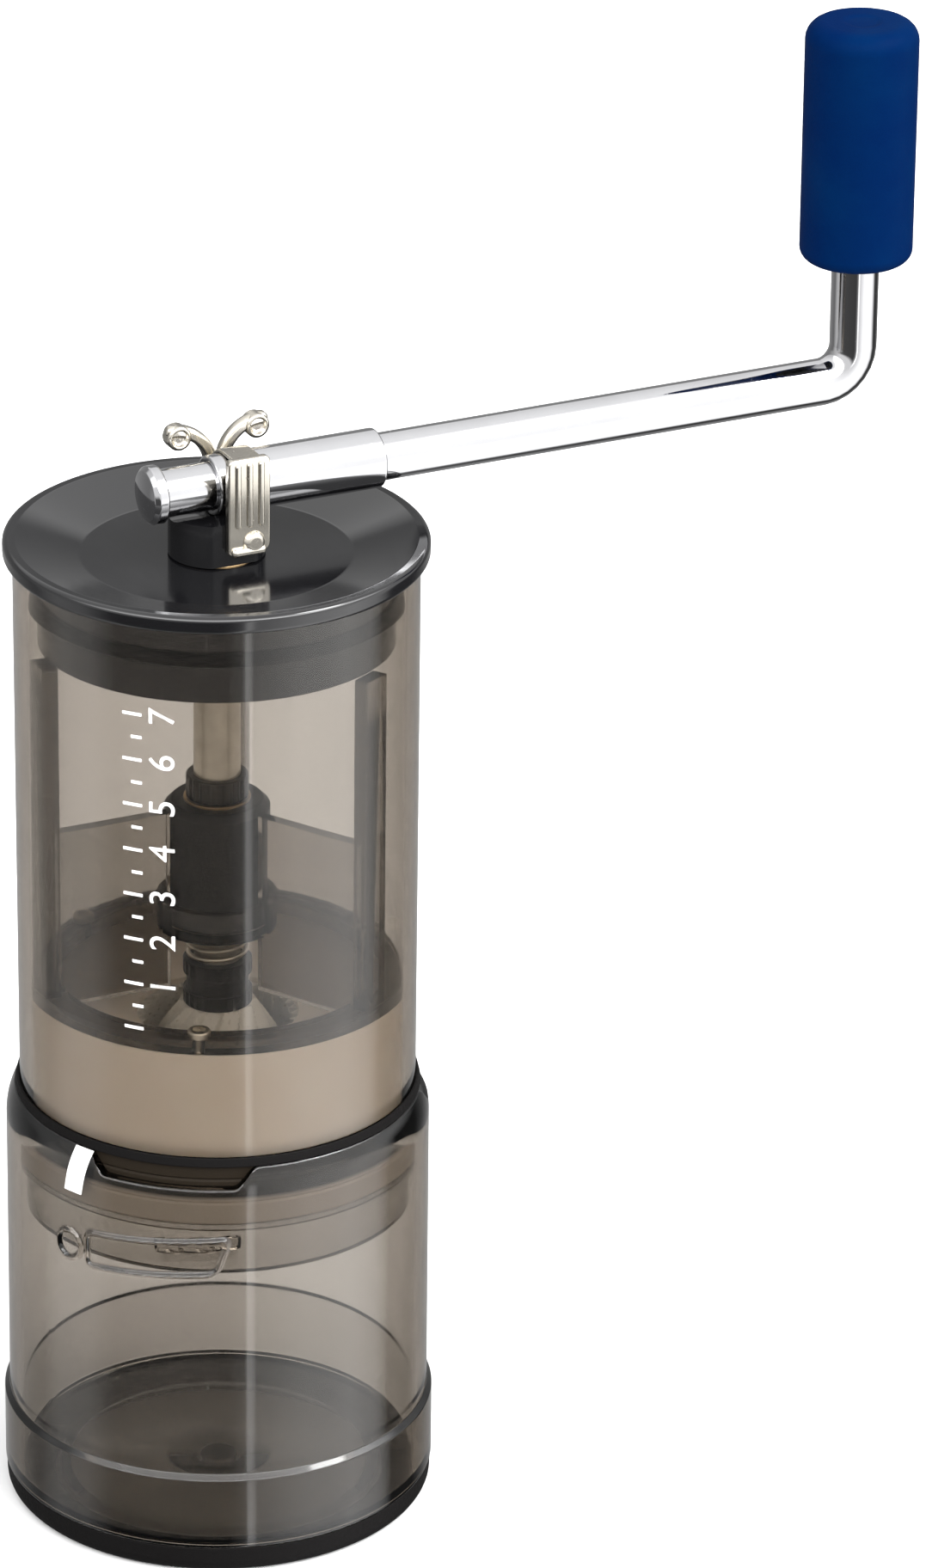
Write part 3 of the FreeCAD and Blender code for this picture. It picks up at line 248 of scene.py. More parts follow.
def glossBlack():
    # Polished black plastic with wiped smears and a little dust
    finish, look = newFinish("blackGloss"), glossLook
    smears = finish.noise(*look["smears"], finish.stretched(look["smearStretch"]))
    dust = finish.span(finish.noise(*look["dust"]), *look["dusty"])
    return finish.surface({
        "Base Color": finish.blend(dust, look["colour"], look["dustColour"]),
        "Roughness": finish.span(smears, *look["wiped"]) + dust * look["dustRoughness"],
        "IOR": look["refraction"],
        "Normal": finish.bump(finish.noise(*look["ripples"]), look["rippleDepth"]),
    })


platedLook = {
    "chrome": (0.43, 0.43, 0.44),
    "nickel": (0.52, 0.49, 0.43),
    "lines": (1400, 2, 0.6),
    "smears": (80, 4, 0.6),
    "marks": (1200, 1, 0.4),
    "smeared": (0.4, 0.8, 0, 1),
    "smearShade": 0.9,
    "smearRoughness": (0.3, 0.75, -0.02, 0.06),
    "markRoughness": (0.72, 0.8, 0, 0.2),
}


def platedMetal(name, metal, roughness, stretch, grainDepth):
    # Plated metal: polish lines along the piece, light smears and pin-point marks
    finish, look = newFinish(name), platedLook
    colour = look[metal]
    lines = finish.noise(*look["lines"], finish.stretched(stretch))
    smears = finish.noise(*look["smears"])
    marks = finish.span(finish.noise(*look["marks"]), *look["markRoughness"])
    shade = shaded(look["smearShade"], colour)
    return finish.surface({
        "Base Color": finish.blend(finish.span(smears, *look["smeared"]), colour, shade),
        "Metallic": 1.0,
        "Roughness": roughness + finish.span(smears, *look["smearRoughness"]) + marks,
        "Normal": finish.bump(lines, grainDepth),
    })


def turnedMetal(colour, roughness, depth):
    # Metal turned on a lathe: fine rings round the upright axis, with duller patches from handling
    return {"colours": (colour, shaded(0.8, colour)), "patches": (160, 3, 0.6), "spread": (0.35, 0.7, 0, 1),
            "patchRoughness": (0.3, 0.7, roughness - 0.06, roughness + 0.08),
            "grain": (2400, 2, 0.6), "depth": depth, "inRings": True, "constants": {"Metallic": 1.0}}


def rubber(**look):
    # Dull, with a fine pebble
    return {**look, "grain": (1800, 3, 0.6), "depth": 0.00004, "grainRoughness": (0.3, 0.7, 0.5, 0.68),
            "constants": {"Specular IOR Level": 0.05}}


# Finishes of two colours in patches, or between two heights in metres. The patches or a fine grain set the
# roughness, and the grain is in relief, or the patches where there is none.
patchyLook = {
    "satinBlack": {  # moulded, with a spark-eroded grain
        "colours": ((0.007, 0.0072, 0.008), shaded(1.7, (0.007, 0.0072, 0.008))),
        "patches": (90, 3, 0.5), "spread": (0, 1, 0, 1), "patchRoughness": (0.3, 0.7, 0.32, 0.46),
        "grain": (2600, 2, 0.6), "depth": 0.00003, "constants": {"Specular IOR Level": 0.2},
    },
    # with pale scuffs
    "blackRubber": rubber(colours=((0.0035, 0.0032, 0.0032), (0.009, 0.0088, 0.0088)), patches=(140, 5, 0.7),
                          spread=(0.6, 0.8, 0, 0.4)),
    # black in its lip above the cup's shoulder, and painted pale below it where the cup covers it: painted
    # light standing in for light seen through the cup's wall, not the rubber's own colour
    "collarRubberPaintedLight": rubber(colours=((0.40, 0.35, 0.30), (0.012, 0.009, 0.006)),
                           heights=(0.0689, 0.0696, 0, 1)),
    "creamPlastic": {  # moulded, with soft mottling and faint rings left by the turned mould
        "colours": ((0.95, 0.86, 0.75), (0.89, 0.79, 0.67)),
        "patches": (70, 4, 0.55), "spread": (0.3, 0.7, 0, 1), "patchRoughness": (0.3, 0.7, 0.36, 0.5),
        "grain": (900, 1, 0.4), "depth": 0.00002, "inRings": True,
        "constants": {"Subsurface Weight": 0.12, "Subsurface Radius": (1.0, 0.8, 0.6),
                      "Subsurface Scale": 0.0015},
    },
    "burrCeramic": {  # fired and unglazed: sandy, with a few darker specks
        "colours": ((0.80, 0.77, 0.70), (0.50, 0.44, 0.36)),
        "patches": (1100, 2, 0.5), "spread": (0.64, 0.72, 0, 0.8), "grainRoughness": (0.3, 0.7, 0.55, 0.75),
        "grain": (3000, 3, 0.7), "depth": 0.00005,
    },
    "whitePrint": {  # pad-printed ink, thin in places
        "colours": ((0.66, 0.65, 0.64), (0.52, 0.51, 0.50)), "depth": 0.00001,
        "patches": (1300, 3, 0.6), "spread": (0.5, 0.75, 0, 1), "patchRoughness": (0.5, 0.75, 0.35, 0.55),
    },
    "blueGrip": {  # soft-touch rubber, a little paler where hands rub it
        "colours": ((0.0001, 0.0066, 0.0375), (0.0002, 0.0093, 0.043)),
        "patches": (60, 3, 0.6), "spread": (0.4, 0.75, 0, 1), "patchRoughness": (0.4, 0.75, 0.5, 0.38),
        "grain": (2200, 3, 0.6), "depth": 0.00003, "constants": {"Specular IOR Level": 0.006},
    },
    "bushBronze": turnedMetal((0.42, 0.29, 0.15), 0.3, 0.00001),
    "turnedSteel": turnedMetal((0.60, 0.55, 0.47), 0.36, 0.000008),
    "blackenedSteel": turnedMetal((0.05, 0.046, 0.042), 0.34, 0.00001),
}


def patchy(name):
    finish, look = newFinish(name), patchyLook[name]
    # a colour change at a height, used only for the collar rubber's pale lower band, which is painted light
    if "heights" in look:
        share = finish.span(finish.split(finish.place())["Z"], *look["heights"])
    else:
        patches = finish.noise(*look["patches"])
        share = finish.span(patches, *look["spread"])
    grain = share
    if "grain" in look:
        grain = finish.noise(*look["grain"], finish.turnedPlace() if "inRings" in look else None)
    return finish.surface({
        "Base Color": finish.blend(share, *look["colours"]),
        "Roughness": finish.span(grain, *look["grainRoughness"]) if "grainRoughness" in look
        else finish.span(patches, *look["patchRoughness"]),
        "Normal": finish.bump(grain, look["depth"]),
        **look.get("constants", {}),
    })


finishes = {
    "smoke_plastic": smokePlastic("smokePlastic", 1.1),
    "smoke_brown_plastic": smokePlastic("smokeBrownPlastic", 1.1),
    "black_gloss": glossBlack(),
    "black_matte": patchy("satinBlack"),
    "black_rubber": patchy("blackRubber"),
    "cream_plastic": patchy("creamPlastic"),
    "burr_ceramic": patchy("burrCeramic"),
    "bush_bronze": patchy("bushBronze"),
    "shaft_steel": patchy("turnedSteel"),
    "arm_chrome": platedMetal("polishedChrome", "chrome", 0.07, (0.03, 1, 1), 0.000002),
    "clamp_nickel": platedMetal("satinNickel", "nickel", 0.2, (1, 1, 0.05), 0.000006),
    "blue_grip": patchy("blueGrip"),
}
printFinish = patchy("whitePrint")
print("finishes made:", len(finishes) + 1)


# Points and curves, in millimetres

cornerStep = math.radians(12)
holdDistance = 0.04  # points this far from a rounded corner keep the flats beside it flat


def near(one, two):
    return abs(one - two) < nearly


def smooth(value):
    value = min(max(value, 0), 1)
    return value * value * (3 - 2 * value)


def between(start, end, share):
    return start + (end - start) * share


def shares(steps):
    return [index / steps for index in range(steps + 1)]


def stepped(start, end, steps):
    # Points along a straight stretch that a shape will change
    return [[between(one, two, share) for one, two in zip(start, end)] for share in shares(steps)]


def evenTurns(count):
    return [fullTurn * index / count for index in range(count)]


def fromMiddle(angle, count):
    # How far an angle is from the nearest of so many even places round a turn
    return (angle + math.pi / count) % (fullTurn / count) - math.pi / count


def circled(angle, radius, *height, centre=(0, 0)):
    # A point on a circle, with a height where one is given
    return Vector((centre[0] + radius * math.cos(angle), centre[1] + radius * math.sin(angle), *height))


def arc(radius, start, end, steps, centre=(0, 0)):
    return [circled(between(start, end, share), radius, centre=centre) for share in shares(steps)]


def oblong(left, right, low, high, *rounding):
    return [(x, y, *rounding) for x, y in ((left, low), (right, low), (right, high), (left, high))]


def tube(inner, outer, low, high, *roundings):
    # Corners of a plain ring, from the inner one at its foot round to the inner one at its top
    corners = ((inner, low), (outer, low), (outer, high), (inner, high))
    return [(*corner, rounding) if rounding else corner for corner, rounding in zip(corners, roundings)]


def rounded(corners, closed=True):
    # An outline. A corner's third number is the radius that rounds it.
    outline = []
    for index, corner in enumerate(corners):
        here = Vector(corner[:2])
        if len(corner) == 2 or not closed and index in (0, len(corners) - 1):
            outline.append(here)
            continue
        radius = corner[2]
        inward = (Vector(corners[index - 1][:2]) - here).normalized()
        outward = (Vector(corners[(index + 1) % len(corners)][:2]) - here).normalized()
        half = inward.angle(outward) / 2
        reach = radius / math.tan(half)
        centre = here + (inward + outward).normalized() * radius / math.sin(half)
        start = here + inward * reach
        bend = (math.pi - 2 * half) * (1 if inward.cross(outward) < 0 else -1)
        outline.append(start + inward * holdDistance)
        for share in shares(max(2, round(abs(bend) / cornerStep))):
            outline.append(centre + Matrix.Rotation(bend * share, 2) @ (start - centre))
        outline.append(here + outward * (reach + holdDistance))
    return outline


def inset(outline, amount):
    moved = []
    for index, point in enumerate(outline):
        along = (outline[(index + 1) % len(outline)] - outline[index - 1]).normalized()
        moved.append(point + Vector((-along.y, along.x)) * amount)
    return moved


# Meshes

def newMesh(name, spots, faces):
    mesh = bpy.data.meshes.new(name)
    mesh.from_pydata([tuple(spot) for spot in spots], [], faces)
    return mesh


def skin(name, rings, loop=True, capped=False, matrix=Matrix.Identity(4)):
    # Faces between rings of points. A ring of one point is a pole.
    spots, rows, faces = [], [], []
    for ring in rings:
        rows.append(range(len(spots), len(spots) + len(ring)))
        spots += ring
    for one, two in zip(rows, rows[1:] + rows[:loop]):
        count = max(len(one), len(two))
        for index in range(count):
            after = (index + 1) % count
            corners = ((one, index), (one, after), (two, after), (two, index))
            face = list(dict.fromkeys(row[place % len(row)] for row, place in corners))
            if len(face) > 2:
                faces.append(face)
    if capped:
        faces += [list(rows[0]), list(rows[-1])]
    mesh = newMesh(name, spots, faces)
    mesh.transform(matrix)
    return mesh


def turned(name, stations, angles, centre=(0, 0)):
    # Rings about an upright axis. A station gives the radius and height of its ring at an angle.
    rings = []
    for station in stations:
        radius, height = station(0)
        if radius < nearly:
            rings.append([Vector((*centre, height))])
        else:
            rings.append([circled(angle, *station(angle), centre=centre) for angle in angles])
    return skin(name, rings)


def turn(name, outline, segments=96, shape=None, centre=(0, 0)):
    # Points of (radius, height) turned about an upright axis. shape may change a point by its angle.
    stations = [lambda angle, spot=spot: shape(*spot, angle) if shape else spot for spot in outline]
    return turned(name, stations, evenTurns(segments), centre)


def cylinder(radius, low, high, segments=96):
    return turn("cylinder", [(0, low), (radius, low), (radius, high), (0, high)], segments)


def lying(mesh, height):
    # Lays a piece turned about the upright axis along the arm, at a height
    mesh.transform(Matrix.Translation((0, 0, height)) @ Matrix.Rotation(quarter, 4, "Y"))
    return mesh


def plate(name, corners, thickness, edge, matrix):
    # An outline thickened along its own upright, with rounded edges
    outline = rounded(corners)
    if sum(one.cross(two) for one, two in zip(outline, outline[1:] + outline[:1])) < 0:
        outline.reverse()
    rims = [(edge + holdDistance, 0)]
    for angle in (quarter * share for share in shares(4)):
        rims.append((edge * (1 - math.sin(angle)), edge * (1 - math.cos(angle))))
    rims += [(amount, thickness - height) for amount, height in reversed(rims)]
    rings = [[Vector((*point, height)) for point in inset(outline, amount)] for amount, height in rims]
    return skin(name, rings, loop=False, capped=True, matrix=matrix)


def sweep(name, path, section, matrix):
    # A section of (side, lift) points carried along a flat path
    rings = []
    for index, point in enumerate(path):
        along = (path[min(index + 1, len(path) - 1)] - path[max(index - 1, 0)]).normalized()
        lift = Vector((-along.y, along.x))
        rings.append([Vector((*(point + lift * up), side)) for side, up in section])
    return skin(name, rings, loop=False, capped=True, matrix=matrix)


def together(name, meshes):
    joined = bmesh.new()
    for mesh in meshes:
        joined.from_mesh(mesh)
        bpy.data.meshes.remove(mesh)
    mesh = bpy.data.meshes.new(name)
    joined.to_mesh(mesh)
    joined.free()
    return mesh


def placedObject(data):
    item = bpy.data.objects.new(data.name, data)
    scene.collection.objects.link(item)
    return item


def settled(name, item, *tools):
    # The mesh of an object with its modifiers or its curve worked out. The object and its tools go.
    bpy.context.view_layer.update()
    mesh = bpy.data.meshes.new_from_object(item.evaluated_get(bpy.context.evaluated_depsgraph_get()))
    mesh.name = name
    for used in (item, *tools):
        bpy.data.objects.remove(used)
    return mesh


def tidyNormals(mesh):
    joined = bmesh.new()
    joined.from_mesh(mesh)
    bmesh.ops.recalc_face_normals(joined, faces=joined.faces)
    joined.to_mesh(mesh)
    joined.free()
    return mesh


def carved(name, base, changes, edge):
    # A solid with others added or cut away, and its sharp edges rounded
    item = placedObject(tidyNormals(base))
    tools = []
    for operation, mesh in changes:
        tools.append(placedObject(tidyNormals(mesh)))
        boolean = item.modifiers.new(operation, "BOOLEAN")
        boolean.operation = operation
        boolean.object = tools[-1]
        boolean.solver = "EXACT"
    bevel = item.modifiers.new("edge", "BEVEL")
    bevel.width = edge
    bevel.segments = 3
    bevel.limit_method = "ANGLE"
    bevel.angle_limit = math.radians(40)
    return settled(name, item, *tools)


def finishPiece(mesh, body, slotName, replaced=(), material=None, crease=38):
    # Makes metres of a mesh, smooths it, and sets what it rides on and stands for
    mesh.transform(Matrix.Scale(millimetre, 4))
    tidyNormals(mesh)
    mesh.shade_smooth()
    mesh.set_sharp_from_angle(angle=math.radians(crease))
    mesh.materials.clear()
    mesh.materials.append(material or finishes[slotName])
    piece = placedObject(mesh)
    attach(piece, body)
    if replaced:
        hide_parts(*replaced)


def lathe(name, body, slotName, node, corners, segments=96, closed=True, along=None, shape=None,
          centre=(0, 0), **finish):
    # A piece turned from rounded corners, upright or lying along the arm at a height
    mesh = turn(name, rounded(corners, closed), segments, shape, centre)
    finishPiece(mesh if along is None else lying(mesh, along), body, slotName, [node], **finish)


def hexShare(angle):
    # How far a hexagon's side is from its centre at an angle, as a share of its corner's distance
    return math.cos(math.pi / 6) / math.cos(fromMiddle(angle - math.pi / 6, 6))


def ripple(angle, count, depth):
    return depth * (0.5 - 0.5 * math.cos(angle * count))


def knurled(outer, count, depth):
    # A shape that cuts soft ridges where a piece is widest
    def ridged(radius, height, angle):
        return (radius - ripple(angle, count, depth) if radius > outer - 0.02 else radius), height
    return ridged


# Foot ring and centre foot

footLook = {"wall": 2.1, "lip": 6.0, "rounding": 2.3, "edge": 0.3}


def makeFeet():
    outer, high, floor = radiusOf("foot_ring"), topOf("foot_ring"), bottomOf("cup")
    inner = outer - footLook["wall"]
    lip, edge = inner - footLook["lip"], footLook["edge"]
    lathe("footRing", "cup", "black_rubber", "foot_ring", [
        (lip, 0, edge), (outer, 0, footLook["rounding"]), (outer, high, edge), (inner, high, edge),
        (inner, floor), (lip, floor, edge)], 180)
    pad, padTop = radiusOf("centre_foot"), topOf("centre_foot")
    lathe("centreFoot", "cup", "black_rubber", "centre_foot", [
        (0, 0), (pad, 0, edge), (pad, padTop), (0, padTop)], 48)


# Cup: a thick clear wall with three low stretches in its rim, lock tabs inside and a lock mark in relief

cupLook = {
    "baseStep": 0.85, "baseTop": 18.6, "baseSlope": 0.9,
    "plainTop": 48.0,  # the wall is plain from the base up to here
    "wall": 2.2, "edge": 0.35, "shoulderInset": 1.5, "shoulderDrop": 5.6,
    "notchDepth": 3.5, "notchHalf": math.radians(26), "notchMiddle": math.radians(-128), "notchRamp": 4.3,
    "floorThickness": 3.0, "floorRounding": 1.5,
    "recess": 1.8, "recessRadius": 27.0, "recessSlope": 1.6, "padGroove": 0.8, "padSlope": 5.2,
    "tab": {"bottom": 59.6, "thickness": 2.0, "half": 6.9}, "tabDepth": 1.0,
    "tabShare": 0.72,  # from this share of the height the rings inside are close together
    "markRings": 120, "tabRings": 40, "lowRings": (0.5, 0.25, 0.01),
    "markDepth": 0.6, "markLine": 0.75, "markStart": math.radians(-52), "markEnd": math.radians(8),
    "fineStep": math.radians(0.25), "coarseStep": math.radians(1.5),
    "barMiddle": math.radians(-18), "barHalf": 12.0, "barHeight": 58.3, "barHalfHeight": 3.1,
    "barCorner": 1.4, "barSlant": 0.35,
    "ringMiddle": math.radians(-43.5), "ringHeight": 57.0, "ringRadius": 2.5,
}
lockLook = {"lead": 18.0, "sideRamp": 0.5, "topRamp": 0.3}  # the hopper climbs the lead in a turn of the lock
cupRadius = radiusOf("cup") - cupLook["baseStep"]


def lockTab(angle, height, radius, tab):
    # How much of a slanted lock tab is at this place, from 0 to 1
    within = fromMiddle(angle, 3)
    middle = tab["bottom"] + tab["thickness"] / 2 + within / fullTurn * lockLook["lead"]
    beside = smooth((tab["half"] - abs(within * radius)) / lockLook["sideRamp"] + 0.5)
    above = smooth((tab["thickness"] / 2 - abs(height - middle)) / lockLook["topRamp"] + 0.5)
    return beside * above


def rimDrop(angle):
    within = fromMiddle(angle - cupLook["notchMiddle"], 3)
    half = cupRadius * math.sin(cupLook["notchHalf"])
    return cupLook["notchDepth"] * smooth((half - abs(cupRadius * within)) / cupLook["notchRamp"])


def lockMark(angle, height):
    # Depth of the ring and bar that stand out of the cup's wall at this place
    look = cupLook
    seen = fromMiddle(angle + cameraTurn, 1)
    ringAlong = (seen - look["ringMiddle"]) * cupRadius
    ring = abs(math.hypot(ringAlong, height - look["ringHeight"]) - look["ringRadius"])
    along = (seen - look["barMiddle"]) * cupRadius
    up = height - look["barHeight"] - along * lockLook["lead"] / (fullTurn * cupRadius)
    along -= up * look["barSlant"] if along > 0 else 0
    line, corner = look["markLine"], look["barCorner"]
    outX, outY = abs(along) - look["barHalf"] + corner, abs(up) - look["barHalfHeight"] + corner
    bar = abs(math.hypot(max(outX, 0), max(outY, 0)) + min(max(outX, outY), 0) - corner)
    return look["markDepth"] * smooth((line - min(ring, bar)) / line)


def cupOuter(height):
    inward, drop = cupLook["shoulderInset"], cupLook["shoulderDrop"]
    above = max(height - topOf("cup") + drop, 0)
    bend = (inward ** 2 + drop ** 2) / (2 * inward)
    return cupRadius - bend + math.sqrt(bend ** 2 - above ** 2)


def cupTurns():
    # Angles round the cup, close together where the lock mark is
    start, end = cupLook["markStart"] - cameraTurn, cupLook["markEnd"] - cameraTurn
    coarse, turns = cupLook["coarseStep"], [start]
    while turns[-1] < start + fullTurn - 1.5 * coarse:
        turns.append(turns[-1] + (cupLook["fineStep"] if turns[-1] < end else coarse))
    return turns


def makeCup():
    look = cupLook
    base, low, high = sizesOf("cup")
    wall, edge = cupRadius, look["edge"]
    bore = wall - look["wall"]
    spigot, seat = radiusOf("foot_ring") - footLook["wall"] - runningGap, topOf("foot_ring")
    pad, padTop = radiusOf("centre_foot"), topOf("centre_foot")
    floor, rounding = low + look["floorThickness"], look["floorRounding"]
    recess, recessRadius, groove = low + look["recess"], look["recessRadius"], pad + look["padGroove"]
    baseTop, plainTop = look["baseTop"], look["plainTop"]
    foot = rounded([
        (0, padTop), (pad, padTop), (pad, low, 0.2), (groove, low, 0.2),
        (groove + look["padSlope"], recess, 2.0), (recessRadius - look["recessSlope"], recess, 0.8),
        (recessRadius, low, 0.2), (spigot, low, 0.2), (spigot, seat), (base, seat, 0.5),
        (base, baseTop - look["baseSlope"], 0.4), (wall, baseTop, 0.4), (wall, plainTop),
    ], closed=False)
    well = rounded([(bore, floor + 2 * rounding), (bore, floor, rounding), (0, floor)], closed=False)

    def rim(angle):
        return high - rimDrop(angle)

    def outside(share):
        def spot(angle):
            up = between(plainTop, rim(angle) - edge, share)
            return cupOuter(up) + lockMark(angle, up), up
        return spot

    def inside(share):
        def spot(angle):
            up = between(floor + rounding, rim(angle) - edge, share)
            return bore - look["tabDepth"] * lockTab(angle, up, bore, look["tab"]), up
        return spot

    stations = [lambda angle, spot=spot: spot for spot in foot]
    stations += [outside(share) for share in shares(look["markRings"])[1:]]
    stations += [
        lambda angle: (cupOuter(rim(angle) - edge) - edge * 0.3, rim(angle) - edge * 0.3),
        lambda angle: (cupOuter(rim(angle) - edge) - edge, rim(angle)),
        lambda angle: (bore + edge * 0.6, rim(angle)),
        lambda angle: (bore + edge * 0.2, rim(angle) - edge * 0.2),
    ]
    stations += [inside(between(look["tabShare"], 1, share)) for share in reversed(shares(look["tabRings"]))]
    stations += [inside(share) for share in look["lowRings"]]
    stations += [lambda angle, spot=spot: spot for spot in well[1:]]
    finishPiece(turned("cupShell", stations, cupTurns()), "cup", "smoke_plastic", ["cup"], crease=50)


# Seal ring on the cup's rim

sealLook = {"foot": 0.8, "top": 0.45}


def makeSealRing():
    outer, low, high = sizesOf("seal_ring")
    inner = outer - sealLook["foot"]
    lathe("rimSeal", "seal", "black_rubber", "seal_ring", [
        (inner, low), (outer, low, 0.15), (inner + sealLook["top"], high, 0.15), (inner, high, 0.12)], 180)


# Hopper shell with its neck and lock lugs, and the gasket in its groove

hopperLook = {
    "flare": 0.2, "wall": 2.2, "edge": 0.3, "neckStep": 1.0, "neckWall": 2.2, "neckTop": 63.3,
    "seatWidth": 2.1, "seatThickness": 2.6,
    "lug": {"bottom": 57.52, "thickness": 2.0, "half": 6.2}, "lugRings": 36,
    "gasketDepth": 0.8, "gasketRibs": 3, "ribEdge": 0.35, "ribGroove": 0.25,
}


def makeHopper():
    look = hopperLook
    topRadius, low, high = sizesOf("hopper_shell")
    gasketLow, gasketHigh = bottomOf("collar_gasket"), topOf("collar_gasket")
    outer, edge = topRadius - look["flare"], look["edge"]
    bore, neck, neckTop = outer - look["wall"], outer - look["neckStep"], look["neckTop"]
    neckBore, seat = neck - look["neckWall"], bore - look["seatWidth"]
    seatTop = bottomOf("burr_housing")
    seatBottom = seatTop - look["seatThickness"]
    groove = outer - look["gasketDepth"]

    def lugged(radius, height, angle):
        lug = lockTab(angle, height, outer, look["lug"]) if near(radius, neck) else 0
        return radius + look["neckStep"] * lug, height

    lathe("hopperShell", "hopper", "smoke_brown_plastic", "hopper_shell", [
        (bore, high, edge), (topRadius, high, edge), (outer, gasketHigh, 0.1), (groove, gasketHigh),
        (groove, gasketLow), (outer, gasketLow, 0.1), (outer, neckTop, 0.2), (neck, neckTop),
        *stepped((neck, neckTop - 0.3), (neck, low + 1), look["lugRings"]), (neck, low, 0.3),
        (neckBore, low, 0.3), (neckBore, seatBottom), (seat, seatBottom + neckBore - seat, 0.2),
        (seat, seatTop), (bore, seatTop),
    ], 240, shape=lugged, crease=50)

    pitch = (gasketHigh - gasketLow) / look["gasketRibs"]
    face = []
    for index in range(look["gasketRibs"]):
        start, ribEdge = gasketLow + pitch * index, look["ribEdge"]
        face += [(outer - 0.02, start + ribEdge, 0.15), (outer - 0.02, start + pitch - ribEdge, 0.15),
                 (outer - look["ribGroove"], start + pitch)]
    # the gasket's band under the cup's shoulder is painted pale, as painted light
    lathe("collarGasket", "hopper", "black_rubber", "collar_gasket", [
        (groove + 0.01, gasketLow), (outer - 0.2, gasketLow), *face[:-1], (outer - 0.2, gasketHigh),
        (groove + 0.01, gasketHigh)], 180, material=patchy("collarRubberPaintedLight"))


# Print: an index mark on the cup and a plain fill scale on the hopper

printLook = {
    "indexMiddle": math.radians(-41), "indexLow": 66.8, "indexHigh": 74.85, "indexHalf": 1.9,
    "indexLean": 1.6, "indexSlices": 8,
    "scaleMiddle": math.radians(-21), "scaleLow": 99.0, "scaleHigh": 155.0, "scaleSteps": 14,
    "longTick": 3.4, "shortTick": 1.9, "tickHeight": 0.55, "digitSize": 6.2, "digitAside": 3.6,
    "ink": 0.03, "lift": 0.005, "stripWidth": 0.5,
}


def wrapped(low, high, seen, radiusAt):
    # A patch of ink between two rows, each a left end, a right end and a height, wrapped on a round wall
    wide, thick = max(low[1], high[1]) - min(low[0], high[0]), printLook["ink"]
    rings = []
    for share in shares(max(2, round(wide / printLook["stripWidth"]))):
        ring = []
        for (left, right, up), ink in ((low, 0), (high, 0), (high, thick), (low, thick)):
            angle = seen + between(left, right, share) / radiusAt(up) - cameraTurn
            ring.append(circled(angle, radiusAt(up) + ink + printLook["lift"], up))
        rings.append(ring)
    return skin("patch", rings, loop=False, capped=True)


def digitMesh(text, seen, along, up, radius):
    # A plain number wrapped on the hopper, turned to read upwards
    curve = bpy.data.curves.new("digit", "FONT")
    curve.body = text
    curve.size = printLook["digitSize"]
    curve.align_x = "CENTER"
    curve.align_y = "CENTER"
    curve.extrude = printLook["ink"] / 2
    mesh = settled("digit", placedObject(curve))
    for vertex in mesh.vertices:
        x, y, z = vertex.co
        across = radius + printLook["ink"] / 2 + z + printLook["lift"]
        vertex.co = circled(seen + (along - y) / radius - cameraTurn, across, up + x)
    return mesh


def makePrint():
    look = printLook

    def row(share):
        middle, half = look["indexLean"] * (share - 0.5), look["indexHalf"]
        return middle - half, middle + half, between(look["indexLow"], look["indexHigh"], share)

    rows = [row(share) for share in shares(look["indexSlices"])]
    slices = [wrapped(low, high, look["indexMiddle"], cupOuter) for low, high in zip(rows, rows[1:])]
    finishPiece(together("indexMark", slices), "cup", "cream_plastic", material=printFinish)

    outer, foot, top = radiusOf("hopper_shell"), topOf("collar_gasket"), topOf("hopper_shell")
    flare, middle = hopperLook["flare"], look["scaleMiddle"]

    def wallRadius(up):
        return outer - flare + flare * (up - foot) / (top - foot)

    marks = []
    for index, share in enumerate(shares(look["scaleSteps"])):
        up, half = between(look["scaleLow"], look["scaleHigh"], share), look["tickHeight"] / 2
        length = look["shortTick"] if index % 2 else look["longTick"]
        marks.append(wrapped((-length, 0, up - half), (-length, 0, up + half), middle, wallRadius))
        if index > 0 and index % 2 == 0:
            marks.append(digitMesh(str(index // 2), middle, look["digitAside"], up, wallRadius(up)))
    finishPiece(together("fillScale", marks), "hopper", "cream_plastic", material=printFinish)


# Burr housing, ring burr, clamp ring and the small screws

burrLook = {
    "ringTeeth": 36, "ringToothDepth": 0.9, "ringTwist": math.radians(24),
    "coneTeeth": 12, "coneToothDepth": 1.5, "coneTwist": math.radians(70), "coneNeck": 6.5, "band": 0.6,
    "fineTeeth": 36, "fineToothDepth": 0.55, "fineTwist": math.radians(28),
    "housingRim": 4.0, "throatStep": 1.5, "throatHeight": 1.0, "mouth": 12.0, "footRadius": 18.6,
    "clampStep": 0.6, "ringRings": 14, "coneRings": 26,
}


def tooth(angle, count, twist, share):
    # A saw-shaped tooth: 0 at its crest and 1 at its root
    phase = (angle + twist * share) * count / fullTurn % 1
    return phase / 0.75 if phase < 0.75 else (1 - phase) / 0.25


